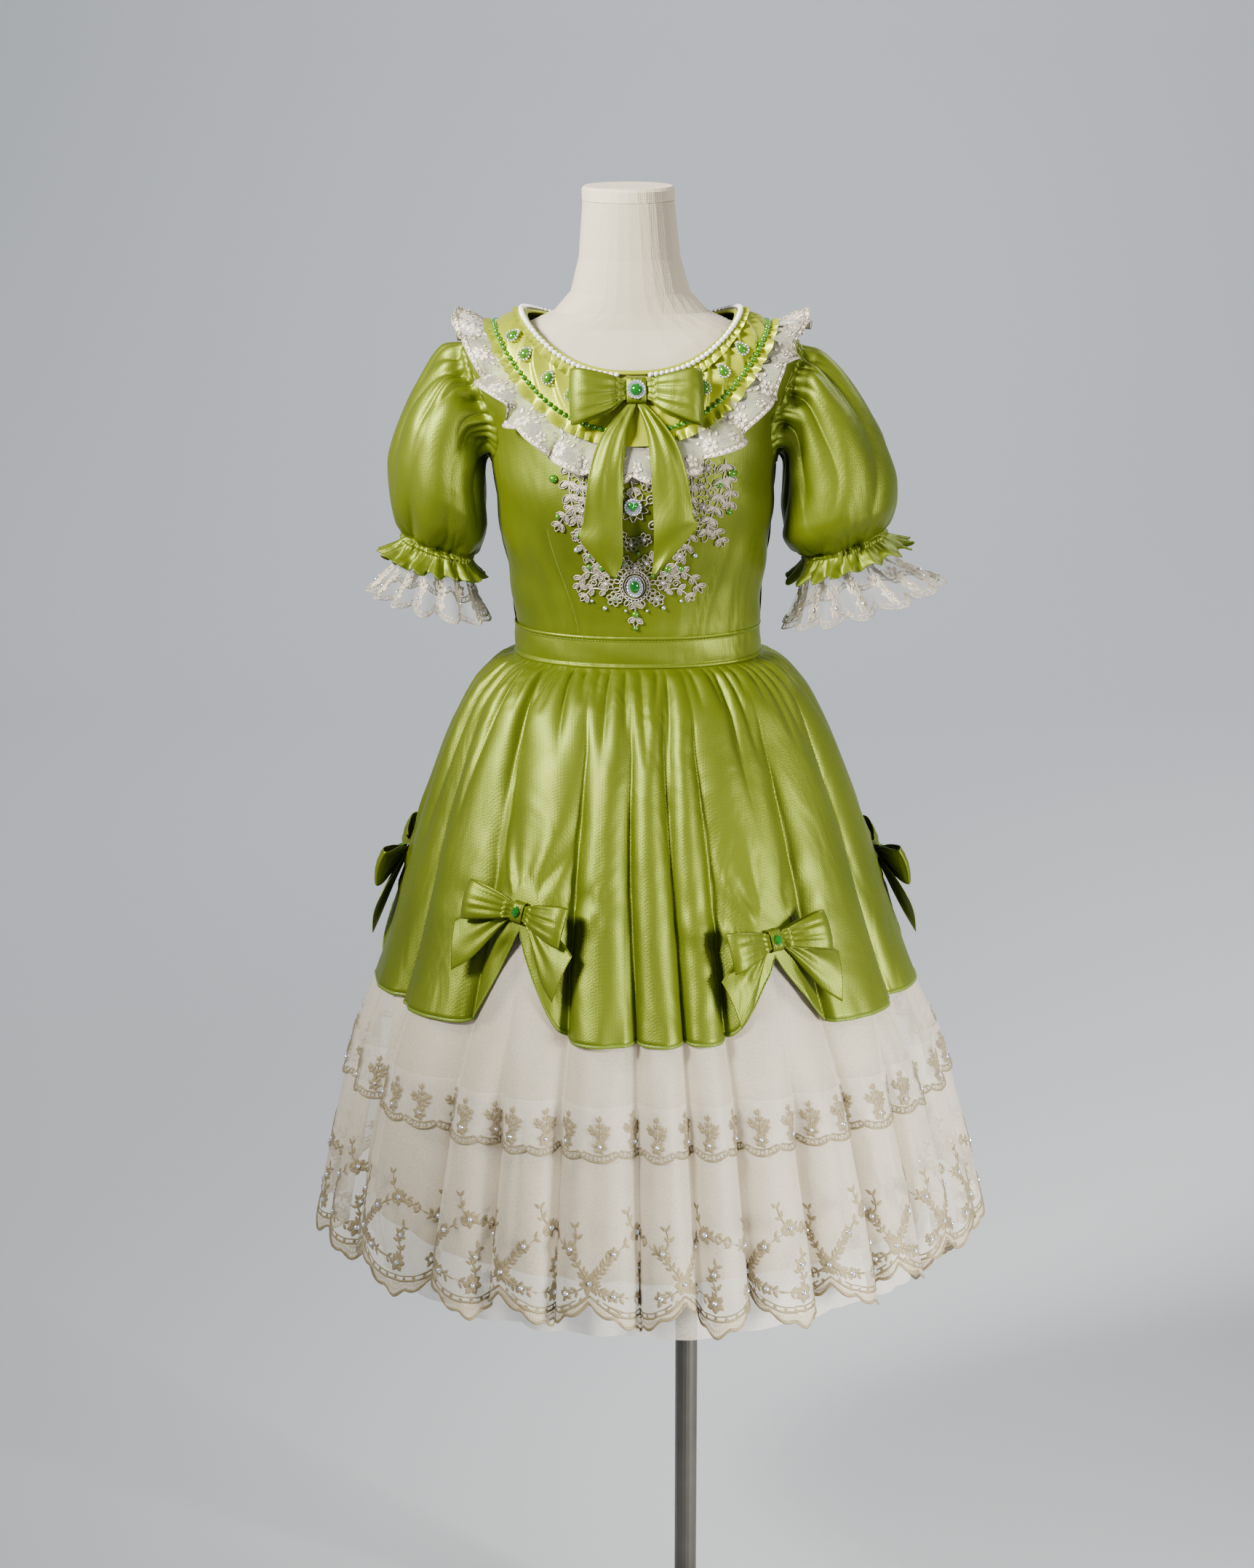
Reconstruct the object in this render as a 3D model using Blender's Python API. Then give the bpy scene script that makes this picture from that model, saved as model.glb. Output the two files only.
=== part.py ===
"""Party dress of satin and lace, worn by a limbless dress form on a pole stand.

Metres, +Z up, the front faces -Y, and the origin is the middle of the stand's foot on the floor.
Garment places are (x, y, up): x across from the form's own axis, y towards the back, up above the waist seam.
The form leans a little on its pole, and place() puts a garment point where it stands.
"""

import math
from collections import namedtuple

import bmesh
import bpy
import numpy as np

# Where the garment stands
WAIST_Z = 1.190
AXIS_X = -0.055
LEAN = 0.022

# Cloth and seams
SATIN = 0.0012
SHEER = 0.0010
SEAM = 0.0004
SQUARE = 2.2

# Heights above the waist seam
WAISTBAND_TOP = 0.0345
UNDERARM_UP = 0.205
SHOULDER_TIP_UP = 0.3305
FORM_FOOT_UP = -0.22
NECK_TOP_UP = 0.478
CAP_TOP_UP = 0.492
SKIRT_HEM_UP = -0.353
SKIRT_DEPTH = 0.026
LACE_TOP_UP = -0.14
LACE_HEM_UP = -0.640
LACE_DEPTH = 0.034
SCALLOPS = 24
SCALLOP_DEPTH = 0.022
BAND_TOP_UP = -0.412
BAND_HEM_UP = -0.462
LINING_HEM_UP = -0.600
TULLE_TOP_UP = -0.500
TULLE_HEM_UP = -0.662
SKIRT_COLUMNS = 4 * SCALLOPS

# Layers, as distances out from the form
BODICE_OUT = 0.0015
YOKE_OUT = BODICE_OUT + SATIN + 0.0016
COLLAR_SLIT = 0.0035
FORM_INSET = 0.0032
ARMHOLE_TURN = math.radians(25)

# Stand
POLE_RADIUS = 0.0125
FLANGE_RADIUS = 0.040
FOOT_RADIUS = 0.175
FOOT_HEIGHT = 0.010
COLLAR_RADIUS = 0.021
COLLAR_HEIGHT = 0.040

Section = namedtuple("Section", "up half_width front back")
BODY = [
    Section(-0.220, 0.158, 0.104, 0.122),
    Section(-0.130, 0.161, 0.104, 0.124),
    Section(-0.060, 0.145, 0.095, 0.106),
    Section(-0.020, 0.1325, 0.0893, 0.0945),
    Section(0.000, 0.1285, 0.0880, 0.0920),
    Section(0.0345, 0.1275, 0.0885, 0.0915),
    Section(0.080, 0.1315, 0.0945, 0.0935),
    Section(0.130, 0.1395, 0.1070, 0.0970),
    Section(0.180, 0.1450, 0.1180, 0.1000),
    Section(0.215, 0.1470, 0.1130, 0.1020),
    Section(0.250, 0.1540, 0.1020, 0.1020),
    Section(0.285, 0.1690, 0.0890, 0.0970),
    Section(0.310, 0.1780, 0.0760, 0.0880),
    Section(0.325, 0.1760, 0.0680, 0.0780),
    Section(0.337, 0.1590, 0.0620, 0.0690),
    Section(0.347, 0.1350, 0.0580, 0.0630),
    Section(0.357, 0.1080, 0.0550, 0.0580),
    Section(0.366, 0.0820, 0.0560, 0.0560),
    Section(0.378, 0.0685, 0.0560, 0.0545),
    Section(0.400, 0.0605, 0.0540, 0.0525),
    Section(0.440, 0.0525, 0.0505, 0.0505),
    Section(0.478, 0.0475, 0.0475, 0.0475),
]

# Crest line of the green skirt's folds, and of the lace skirt below it
SKIRT = [
    Section(0.000, 0.1318, 0.0913, 0.0953),
    Section(-0.006, 0.1520, 0.1100, 0.1160),
    Section(-0.030, 0.1770, 0.1390, 0.1450),
    Section(-0.070, 0.2010, 0.1670, 0.1740),
    Section(-0.120, 0.2235, 0.1930, 0.2000),
    Section(-0.180, 0.2450, 0.2180, 0.2250),
    Section(-0.240, 0.2630, 0.2400, 0.2460),
    Section(-0.300, 0.2820, 0.2620, 0.2670),
    Section(-0.353, 0.3030, 0.2860, 0.2900),
    Section(-0.390, 0.3150, 0.3010, 0.3050),
    Section(-0.450, 0.3310, 0.3190, 0.3230),
    Section(-0.510, 0.3460, 0.3350, 0.3390),
    Section(-0.570, 0.3600, 0.3500, 0.3540),
    Section(-0.640, 0.3740, 0.3660, 0.3700),
]
LINING = [
    Section(0.000, 0.1301, 0.0896, 0.0936),
    Section(-0.020, 0.1420, 0.1010, 0.1060),
    Section(-0.070, 0.1760, 0.1400, 0.1460),
    Section(-0.140, 0.2130, 0.1820, 0.1890),
    Section(-0.353, 0.2660, 0.2480, 0.2530),
    Section(-0.500, 0.2960, 0.2860, 0.2900),
    Section(-0.600, 0.3150, 0.3060, 0.3100),
    Section(-0.662, 0.3190, 0.3090, 0.3130),
]

# Valleys between the skirt's large folds, in degrees from the front, towards the viewer's right
SKIRT_VALLEYS = [-167, -140, -117, -89, -64, -41, -17, -2, 8, 17, 42, 66, 92, 120, 141, 167]
LACE_VALLEYS = sorted(SKIRT_VALLEYS + [-153, -103, -76, -29, 29, 54, 79, 106, 154, 180])

SkirtBow = namedtuple("SkirtBow", "name turn up lift seat")
SKIRT_BOWS = [
    SkirtBow("front_left", -29, -0.230, 0.106, 0.0001),
    SkirtBow("front_right", 29.5, -0.258, 0.080, 0.0),
    SkirtBow("side_right", 106, -0.245, 0.092, 0.0),
    SkirtBow("back", 180, -0.245, 0.090, -0.0004),
    SkirtBow("side_left", -103, -0.240, 0.096, 0.0),
]
SWAG_HALF_TURN = 15.0
SWAG_POWER = 2.3

# Rings around the neck: the neckline, the yoke's edge, and their heights at the front and the back
Ring = namedtuple("Ring", "half_width front_up back_up")
NECKLINE = Ring(0.1110, 0.303, 0.338)
YOKE_EDGE = Ring(0.1410, 0.250, 0.296)
LACE_EDGE = Ring(0.1900, 0.200, 0.246)
LACE_EDGE_RIDGE_UP = 0.347

SleeveRing = namedtuple("SleeveRing", "outer_x outer_up inner_x inner_up half_depth gather")
SLEEVES = {
    "left": [
        SleeveRing(0.2020, 0.329, 0.1540, 0.197, 0.059, 0.0022),
        SleeveRing(0.2310, 0.292, 0.1530, 0.179, 0.068, 0.0024),
        SleeveRing(0.2560, 0.235, 0.1525, 0.150, 0.0745, 0.0012),
        SleeveRing(0.2640, 0.172, 0.1545, 0.122, 0.070, 0.0020),
        SleeveRing(0.2600, 0.143, 0.1620, 0.107, 0.058, 0.0030),
        SleeveRing(0.2520, 0.123, 0.1710, 0.098, 0.044, 0.0015),
        SleeveRing(0.2700, 0.106, 0.1630, 0.079, 0.054, 0.0018),
    ],
    "right": [
        SleeveRing(0.2010, 0.329, 0.1540, 0.197, 0.059, 0.0022),
        SleeveRing(0.2370, 0.292, 0.1525, 0.179, 0.069, 0.0024),
        SleeveRing(0.2700, 0.232, 0.1515, 0.150, 0.0775, 0.0012),
        SleeveRing(0.2810, 0.168, 0.1525, 0.121, 0.075, 0.0020),
        SleeveRing(0.2775, 0.146, 0.1615, 0.107, 0.063, 0.0030),
        SleeveRing(0.2700, 0.129, 0.1735, 0.099, 0.050, 0.0015),
        SleeveRing(0.2900, 0.116, 0.1625, 0.078, 0.061, 0.0018),
    ],
}
CUFF_LACE = {
    "left": [
        SleeveRing(0.2472, 0.1195, 0.1753, 0.0985, 0.0387, 0.0),
        SleeveRing(0.2570, 0.0950, 0.1740, 0.0720, 0.0430, 0.0012),
        SleeveRing(0.2830, 0.0660, 0.1610, 0.0330, 0.0620, 0.0060),
    ],
    "right": [
        SleeveRing(0.2652, 0.1255, 0.1778, 0.0995, 0.0447, 0.0),
        SleeveRing(0.2770, 0.1000, 0.1750, 0.0710, 0.0500, 0.0012),
        SleeveRing(0.3270, 0.0740, 0.1590, 0.0270, 0.0720, 0.0060),
    ],
}
SLEEVE_COLUMNS = 32
SLEEVE_GATHERS = 16
CUFF_LACE_COLUMNS = 40
CUFF_LACE_WAVES = 10

# Bows, with places in (across, up, out) from the knot, in the bow's own slope
RibbonPlace = namedtuple("RibbonPlace", "across out half_height lean")
BowCut = namedtuple("BowCut", "loop tail_corner tail_tip knot_half_width knot_half_height gem")
SKIRT_BOW_LOOP = [
    RibbonPlace(0.0075, 0.0036, 0.0080, 0.0),
    RibbonPlace(0.025, 0.0055, 0.0140, 0.0),
    RibbonPlace(0.050, 0.0085, 0.0200, -0.001),
    RibbonPlace(0.0610, 0.0140, 0.0215, -0.002),
    RibbonPlace(0.050, 0.0200, 0.0200, -0.001),
    RibbonPlace(0.025, 0.0165, 0.0135, 0.0),
    RibbonPlace(0.0075, 0.0080, 0.0080, 0.0),
]
NECK_BOW_LOOP = [
    RibbonPlace(0.0110, 0.0036, 0.0100, 0.0),
    RibbonPlace(0.028, 0.0045, 0.0190, -0.004),
    RibbonPlace(0.057, 0.0050, 0.0270, -0.007),
    RibbonPlace(0.0690, 0.0120, 0.0285, -0.008),
    RibbonPlace(0.057, 0.0220, 0.0270, -0.006),
    RibbonPlace(0.028, 0.0190, 0.0180, -0.003),
    RibbonPlace(0.0110, 0.0085, 0.0100, 0.0),
]
SKIRT_BOW_CUT = BowCut(SKIRT_BOW_LOOP, (0.0720, -0.0270), (0.0620, -0.0790), 0.0065, 0.0100, (0.0045, 0.0060))
SKIRT_SLOPE = math.radians(18)
NECK_BOW_UP = 0.290
NECK_BOW_X = 0.004
NECK_BOW_SLOPE = math.radians(13)

TailRow = namedtuple("TailRow", "up middle_x half_width out_y")
NECK_TAILS = {
    "left": [
        TailRow(0.250, -0.0190, 0.0130, 0.1195),
        TailRow(0.215, -0.0280, 0.0175, 0.1300),
        TailRow(0.165, -0.0330, 0.0200, 0.1335),
        TailRow(0.135, -0.0350, 0.0215, 0.1330),
        TailRow(0.107, -0.0240, 0.0030, 0.1320),
    ],
    "right": [
        TailRow(0.250, 0.0270, 0.0130, 0.1195),
        TailRow(0.215, 0.0350, 0.0180, 0.1300),
        TailRow(0.170, 0.0390, 0.0205, 0.1335),
        TailRow(0.147, 0.0400, 0.0215, 0.1330),
        TailRow(0.110, 0.0190, 0.0030, 0.1320),
    ],
}

# Lace sewn on the bodice: rows of (up, middle, half width) across the front, and the gems on it
PatchRow = namedtuple("PatchRow", "up middle_x half_width")
PATCHES = {
    "applique_centre": [
        PatchRow(0.188, -0.002, 0.0110),
        PatchRow(0.164, -0.002, 0.0130),
        PatchRow(0.134, -0.002, 0.0150),
        PatchRow(0.118, -0.002, 0.0200),
        PatchRow(0.105, -0.002, 0.0320),
        PatchRow(0.090, -0.002, 0.0360),
        PatchRow(0.078, -0.002, 0.0220),
        PatchRow(0.062, -0.002, 0.0090),
        PatchRow(0.050, -0.002, 0.0030),
    ],
    "applique_right": [
        PatchRow(0.186, 0.0840, 0.0090),
        PatchRow(0.166, 0.0780, 0.0110),
        PatchRow(0.146, 0.0680, 0.0110),
        PatchRow(0.130, 0.0570, 0.0050),
    ],
    "applique_left": [
        PatchRow(0.186, -0.0730, 0.0090),
        PatchRow(0.166, -0.0700, 0.0110),
        PatchRow(0.148, -0.0630, 0.0110),
        PatchRow(0.132, -0.0540, 0.0050),
    ],
}
PATCH_OUT = {"applique_centre": 0.0014, "applique_right": 0.0010, "applique_left": 0.0006}
Gem = namedtuple("Gem", "name x up half_width half_height height seat")
BODICE_GEMS = [
    Gem("medallion", -0.002, 0.0915, 0.0120, 0.0140, 0.0035, 0.0007),
    Gem("heart_gem", -0.002, 0.1780, 0.0065, 0.0065, 0.0045, 0.0004),
]

GREEN = (0.36, 0.45, 0.035)
DARK_GREEN = (0.01, 0.22, 0.04)
CREAM = (0.80, 0.76, 0.67)
LACE = (0.78, 0.74, 0.63)
COVER = (0.86, 0.83, 0.76)
STEEL = (0.42, 0.41, 0.38)


def clear_scene():
    for thing in list(bpy.data.objects):
        bpy.data.objects.remove(thing, do_unlink=True)


def material(name, colour, roughness, metallic=0.0):
    made = bpy.data.materials.get(name) or bpy.data.materials.new(name)
    made.use_nodes = True
    shader = made.node_tree.nodes["Principled BSDF"]
    shader.inputs["Base Color"].default_value = (*colour, 1.0)
    shader.inputs["Roughness"].default_value = roughness
    shader.inputs["Metallic"].default_value = metallic
    return made


def satin():
    return material("green_satin", GREEN, 0.32)


def lace():
    return material("lace", LACE, 0.75)


def along(table, column, up):
    """The value of a table's column at a height, on a smooth curve through every row."""
    rows = sorted(table)
    x = np.array([row[0] for row in rows], float)
    y = np.array([getattr(row, column) for row in rows], float)
    rise = np.diff(y) / np.diff(x)
    slope = np.concatenate([rise[:1], np.zeros(len(x) - 2), rise[-1:]])
    same_way = rise[:-1] * rise[1:] > 0
    low, high = rise[:-1][same_way], rise[1:][same_way]
    slope[1:-1][same_way] = 2 * low * high / (low + high)
    up = np.clip(up, x[0], x[-1])
    i = np.clip(np.searchsorted(x, up, side="right") - 1, 0, len(x) - 2)
    step = x[i + 1] - x[i]
    t = (up - x[i]) / step
    return (
        (1 + 2 * t) * (1 - t) ** 2 * y[i]
        + t * (1 - t) ** 2 * step * slope[i]
        + t * t * (3 - 2 * t) * y[i + 1]
        + t * t * (t - 1) * step * slope[i + 1]
    )


def section_point(table, turn, up, square=SQUARE):
    """A point on a table's rounded outline at a height. Turn 0 is the front, +90 degrees the viewer's right."""
    power = 2 / square
    across, ahead = np.sin(turn), np.cos(turn)
    depth = np.where(ahead > 0, along(table, "front", up), along(table, "back", up))
    x = along(table, "half_width", up) * np.sign(across) * np.abs(across) ** power
    y = -depth * np.sign(ahead) * np.abs(ahead) ** power
    return np.stack(np.broadcast_arrays(x, y, up), axis=-1).astype(float)


def body(turn, up, out=0.0):
    """A point at a distance out from the form's skin."""
    step = 1e-3
    turn, up = np.broadcast_arrays(np.asarray(turn, float), np.asarray(up, float))
    across = section_point(BODY, turn + step, up) - section_point(BODY, turn - step, up)
    rise = section_point(BODY, turn, up + step) - section_point(BODY, turn, up - step)
    normal = np.cross(across, rise)
    normal /= np.linalg.norm(normal, axis=-1, keepdims=True)
    return section_point(BODY, turn, up) + normal * np.asarray(out, float)[..., None]


def ridge_up(half_width):
    """The height at which the form's shoulder is this far from its axis."""
    ups = np.linspace(0.325, 0.378, 400)
    widths = along(BODY, "half_width", ups)
    return float(np.interp(-half_width, -widths, ups))


def place(points):
    """Garment points as world points."""
    points = np.asarray(points, float)
    up = points[..., 2]
    return np.stack([points[..., 0] + AXIS_X - LEAN * up, points[..., 1], up + WAIST_Z], axis=-1)


def add_object(name, mesh, finish, smooth_angle=math.radians(50)):
    mesh.materials.append(finish)
    mesh.shade_smooth()
    mesh.set_sharp_from_angle(angle=smooth_angle)
    made = bpy.data.objects.new(name, mesh)
    bpy.context.scene.collection.objects.link(made)
    return made


def grid_mesh(name, points, closed, caps=False):
    """A sheet through rows of world points. A closed one joins its last column to its first."""
    rows, columns = points.shape[:2]
    work = bmesh.new()
    corners = [[work.verts.new(point) for point in row] for row in points]
    for r in range(rows - 1):
        for c in range(columns if closed else columns - 1):
            after = (c + 1) % columns
            work.faces.new((corners[r][c], corners[r][after], corners[r + 1][after], corners[r + 1][c]))
    if caps:
        work.faces.new(corners[0][::-1])
        work.faces.new(corners[-1])
        bmesh.ops.recalc_face_normals(work, faces=work.faces)
    else:
        bmesh.ops.triangulate(work, faces=work.faces, quad_method="SHORT_EDGE")
    mesh = bpy.data.meshes.new(name)
    work.to_mesh(mesh)
    work.free()
    return mesh


def cloth(name, points, thickness, finish, closed=True):
    """A cloth wall. The points are its outer face, from the top row down, and the wall lies behind it."""
    made = add_object(name, grid_mesh(name, place(points)[::-1], closed), finish)
    wall = made.modifiers.new("wall", "SOLIDIFY")
    wall.thickness = thickness
    wall.offset = -1.0
    wall.use_even_offset = False
    return made


def wall(name, outer, inner, finish, closed=False):
    """A cloth wall between two sheets of garment points, top rows first and left to right."""
    work = bmesh.new()
    front, back = ([[work.verts.new(p) for p in row] for row in place(sheet)] for sheet in (outer, inner))
    rows, columns = len(front), len(front[0])
    spans = [(c, (c + 1) % columns) for c in range(columns if closed else columns - 1)]
    for r in range(rows - 1):
        for a, b in spans:
            square = [(r + 1, a), (r + 1, b), (r, b), (r, a)]
            corners = [front[i][j].co for i, j in square]
            if (corners[0] - corners[2]).length > (corners[1] - corners[3]).length:
                square = square[1:] + square[:1]
            for half in (square[:3], square[2:] + square[:1]):
                work.faces.new([front[i][j] for i, j in half])
                work.faces.new([back[i][j] for i, j in half[::-1]])
    for a, b in spans:
        work.faces.new((front[0][a], front[0][b], back[0][b], back[0][a]))
        work.faces.new((back[-1][a], back[-1][b], front[-1][b], front[-1][a]))
    for r in range(0 if closed else rows - 1):
        work.faces.new((back[r][0], back[r + 1][0], front[r + 1][0], front[r][0]))
        work.faces.new((front[r][-1], front[r + 1][-1], back[r + 1][-1], back[r][-1]))
    bmesh.ops.recalc_face_normals(work, faces=work.faces)
    mesh = bpy.data.meshes.new(name)
    work.to_mesh(mesh)
    work.free()
    return add_object(name, mesh, finish)


def laid_over(ring, distance):
    """A closed ring moved outward, so that each side between two points stays this far from its old place."""
    ahead = np.roll(ring, -1, axis=0) - ring
    side = np.stack([ahead[:, 1], -ahead[:, 0]], axis=-1)
    side /= np.linalg.norm(side, axis=-1, keepdims=True)
    before = np.roll(side, 1, axis=0)
    middle = side + before
    middle /= np.linalg.norm(middle, axis=-1, keepdims=True)
    reach = distance / np.maximum((middle * side).sum(-1, keepdims=True), 0.3)
    return ring + np.hstack([middle * reach, np.zeros((len(ring), 1))])


def solid(name, points, finish):
    """A solid through rings of garment points, from the bottom up, closed by flat ends."""
    return add_object(name, grid_mesh(name, place(points), True, caps=True), finish, math.radians(35))


def hoop(name, sections, finish):
    """A closed hoop. The points are a ring of small outlines, each one around the hoop's own cord."""
    points = place(sections)
    work = bmesh.new()
    corners = [[work.verts.new(point) for point in outline] for outline in points]
    columns, sides = points.shape[:2]
    for c in range(columns):
        for s in range(sides):
            after, beside = (c + 1) % columns, (s + 1) % sides
            work.faces.new((corners[c][s], corners[c][beside], corners[after][beside], corners[after][s]))
    bmesh.ops.recalc_face_normals(work, faces=work.faces)
    mesh = bpy.data.meshes.new(name)
    work.to_mesh(mesh)
    work.free()
    return add_object(name, mesh, finish)


def lathe(name, profile, finish, steps, x=0.0):
    """A turned solid about the pole's axis. The profile is (radius, world height) from the top down."""
    curve = bpy.data.meshes.new(name)
    corners = [(radius, 0.0, height) for radius, height in profile]
    curve.from_pydata(corners, [(i, i + 1) for i in range(len(corners) - 1)], [])
    made = bpy.data.objects.new(name, curve)
    made.location.x = x
    bpy.context.scene.collection.objects.link(made)
    turned = made.modifiers.new("turned", "SCREW")
    turned.steps = turned.render_steps = steps
    turned.use_merge_vertices = True
    turned.merge_threshold = 0.0001
    turned.use_smooth_shade = False
    curve.materials.append(finish)
    return made


def lobes(turn, valleys):
    """1 on the crest of each fold and 0 in the valleys between them, for turns in degrees."""
    edges = np.array(list(valleys) + [valleys[0] + 360], float)
    turn = (np.asarray(turn, float) - edges[0]) % 360 + edges[0]
    i = np.clip(np.searchsorted(edges, turn, side="right") - 1, 0, len(edges) - 2)
    share = (turn - edges[i]) / (edges[i + 1] - edges[i])
    return np.abs(np.sin(np.pi * share)) ** 0.7


def fold_columns(valleys, count):
    """Turns of the columns, with one in every valley and the rest spread over the folds."""
    edges = list(valleys) + [valleys[0] + 360]
    shares = [edges[i + 1] - edges[i] for i in range(len(valleys))]
    counts = [max(4, round(count * share / 360)) for share in shares]
    while sum(counts) != count:
        step = 1 if sum(counts) < count else -1
        kept = [99 if step < 0 and size <= 4 else 0 for size in counts]
        widest = max(range(len(counts)), key=lambda i: step * shares[i] / counts[i] - kept[i])
        counts[widest] += step
    turns = []
    for i, number in enumerate(counts):
        turns += [edges[i] + shares[i] * k / number for k in range(number)]
    return np.array(turns)


def skirt_point(turn, up, inward):
    """A point on the skirt's crest line, moved in towards the axis. The turn is in degrees."""
    angle = np.radians(turn)
    square = np.interp(-np.asarray(up, float), [0.0, 0.07], [SQUARE, 2.0])
    points = section_point(SKIRT, angle, up, square)
    points[..., 0] -= inward * np.sin(angle)
    points[..., 1] += inward * np.cos(angle)
    return points


def swag_lift(turn):
    """How far each bow lifts the green hem at a turn."""
    lift = np.zeros_like(turn)
    for bow in SKIRT_BOWS:
        away = np.abs((turn - bow.turn + 180) % 360 - 180) / SWAG_HALF_TURN
        lift += bow.lift * np.clip(1 - away, 0, 1) ** SWAG_POWER
    return lift


def build_form():
    cover = material("form_cover", COVER, 0.85)
    turns = np.radians(np.arange(0, 360, 11.25))
    ups = [-0.219, -0.12, -0.05, 0.0, WAISTBAND_TOP, 0.10, 0.17, 0.235, 0.285]
    ups += [0.31, 0.331, 0.350, 0.366, 0.385, 0.42, NECK_TOP_UP - SEAM]
    rings = []
    for up in ups:
        half_width = np.abs(body(turns, np.full(len(turns), up))[:, 0])
        inset = np.interp(up, [0.035, 0.07, 0.42, 0.47], [0.0, 1.0, 1.0, 0.0])
        inset = inset * np.interp(half_width, [0.10, 0.14], [FORM_INSET, FORM_INSET + 0.0070])
        rings.append(body(turns, np.full(len(turns), up), -inset))
    solid("form_torso", np.array(rings), cover)
    cap = [(0.0482, NECK_TOP_UP), (0.0482, CAP_TOP_UP - 0.003), (0.0460, CAP_TOP_UP)]
    rings = [
        np.stack([radius * np.sin(turns), -radius * np.cos(turns), np.full(len(turns), up)], axis=-1)
        for radius, up in cap
    ]
    solid("form_neck_cap", np.array(rings), material("neck_cap", COVER, 0.7))


def build_stand():
    steel = material("stand_steel", STEEL, 0.3, 0.9)
    top = WAIST_Z - 0.219 - SEAM
    pole = [(0.0, top), (FLANGE_RADIUS, top), (FLANGE_RADIUS, top - 0.005)]
    pole += [(POLE_RADIUS + 0.004, top - 0.009)]
    pole += [(POLE_RADIUS, top - 0.020), (POLE_RADIUS, FOOT_HEIGHT + SEAM), (0.0, FOOT_HEIGHT + SEAM)]
    lathe("stand_pole", pole, steel, 20)
    foot = [(0.0, FOOT_HEIGHT), (FOOT_RADIUS - 0.004, FOOT_HEIGHT), (FOOT_RADIUS, FOOT_HEIGHT - 0.004)]
    foot += [(FOOT_RADIUS, 0.0), (0.0, 0.0)]
    lathe("stand_foot", foot, steel, 44)
    inner = POLE_RADIUS + SEAM
    low, high = FOOT_HEIGHT + SEAM, FOOT_HEIGHT + COLLAR_HEIGHT
    outline = [(inner, low), (COLLAR_RADIUS, low), (COLLAR_RADIUS, high - 0.004)]
    outline += [(COLLAR_RADIUS - 0.003, high), (inner, high)]
    turns = np.radians(np.arange(0, 360, 18))
    rings = [[(r * math.sin(a), -r * math.cos(a), z) for r, z in outline] for a in turns]
    points = np.array(rings)
    up = points[..., 2] - WAIST_Z
    points = np.stack([points[..., 0] - AXIS_X + LEAN * up, points[..., 1], up], axis=-1)
    hoop("stand_collar", points, steel)


def ring_turn_up(ring, around):
    """The form's turn and height at a place around the neck, 0 at the front and 180 degrees at the back."""
    across, ahead = np.sin(around), np.cos(around)
    centre = np.where(ahead > 0, ring.front_up, ring.back_up)
    up = centre + (ridge_up(ring.half_width) - centre) * np.abs(across) ** 2.5
    share = np.clip(ring.half_width * np.abs(across) / along(BODY, "half_width", up), 0, 1)
    turn = np.arcsin(share ** (SQUARE / 2))
    turn = np.where(ahead > 0, turn, np.pi - turn) * np.sign(across + 1e-12)
    return turn, up


def ring_between(start, end, share):
    return Ring(*(a + (b - a) * share for a, b in zip(start, end)))


def armhole(around):
    """The form's turn and height around the right armhole: 0 at the top, then the front, then below."""
    up = UNDERARM_UP + (SHOULDER_TIP_UP - UNDERARM_UP) * (1 + np.cos(around)) / 2
    turn = np.pi / 2 - ARMHOLE_TURN * np.sign(np.sin(around)) * np.abs(np.sin(around)) ** 0.8
    return turn, up


def bodice_panel(front, spans, rows):
    """A bodice panel's outer face over a span of -1 (left side seam) to 1 (right), top row first."""
    neck_share, side_share = 0.66, 0.55
    seam_turn = SEAM / 0.13 / 2
    low = WAISTBAND_TOP + SEAM * 2

    def top(span):
        around = np.clip(span / neck_share, -1, 1) * np.pi / 2
        turn, up = ring_turn_up(NECKLINE, around if front else np.pi - around)
        turn = turn if front else np.sign(span + 1e-12) * (np.pi - np.abs(turn))
        beyond = np.clip((np.abs(span) - neck_share) / (1 - neck_share), 0, 1)
        up = up + (SHOULDER_TIP_UP - up) * beyond
        return np.where(beyond > 0, np.sign(span) * np.pi / 2, turn), up

    def side(share):
        below = np.clip(share / side_share, 0, 1)
        above = np.clip((share - side_share) / (1 - side_share), 0, 1)
        turn, up = armhole(np.pi * (1 - above))
        seam_up = low + (UNDERARM_UP - low) * below
        return np.where(above > 0, turn, np.pi / 2), np.where(above > 0, up, seam_up)

    share = np.linspace(1, 0, rows)[:, None]
    across = (np.asarray(spans)[None, :] + 1) / 2
    top_turn, top_up = top(np.asarray(spans)[None, :])
    side_turn, side_up = side(share)
    corner = np.pi / 2
    turn = share * top_turn + (1 - share) * (2 * across - 1) * corner
    turn = turn + (2 * across - 1) * (side_turn - corner)
    up = share * top_up + (1 - share) * low
    up = up + side_up - (share * SHOULDER_TIP_UP + (1 - share) * low)
    turn = turn * (corner - seam_turn) / corner
    turn = turn if front else np.pi - turn
    return [body(turn, up, BODICE_OUT + out) for out in (SATIN, 0.0)]


def build_bodice():
    wall("bodice_front", *bodice_panel(True, np.linspace(-1, 1, 19), 9), satin())
    half_gap = SEAM / 0.18
    for name, spans in (("right", np.linspace(half_gap, 1, 9)), ("left", np.linspace(-1, -half_gap, 9))):
        wall(f"bodice_back_{name}", *bodice_panel(False, spans, 8), satin())


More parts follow.
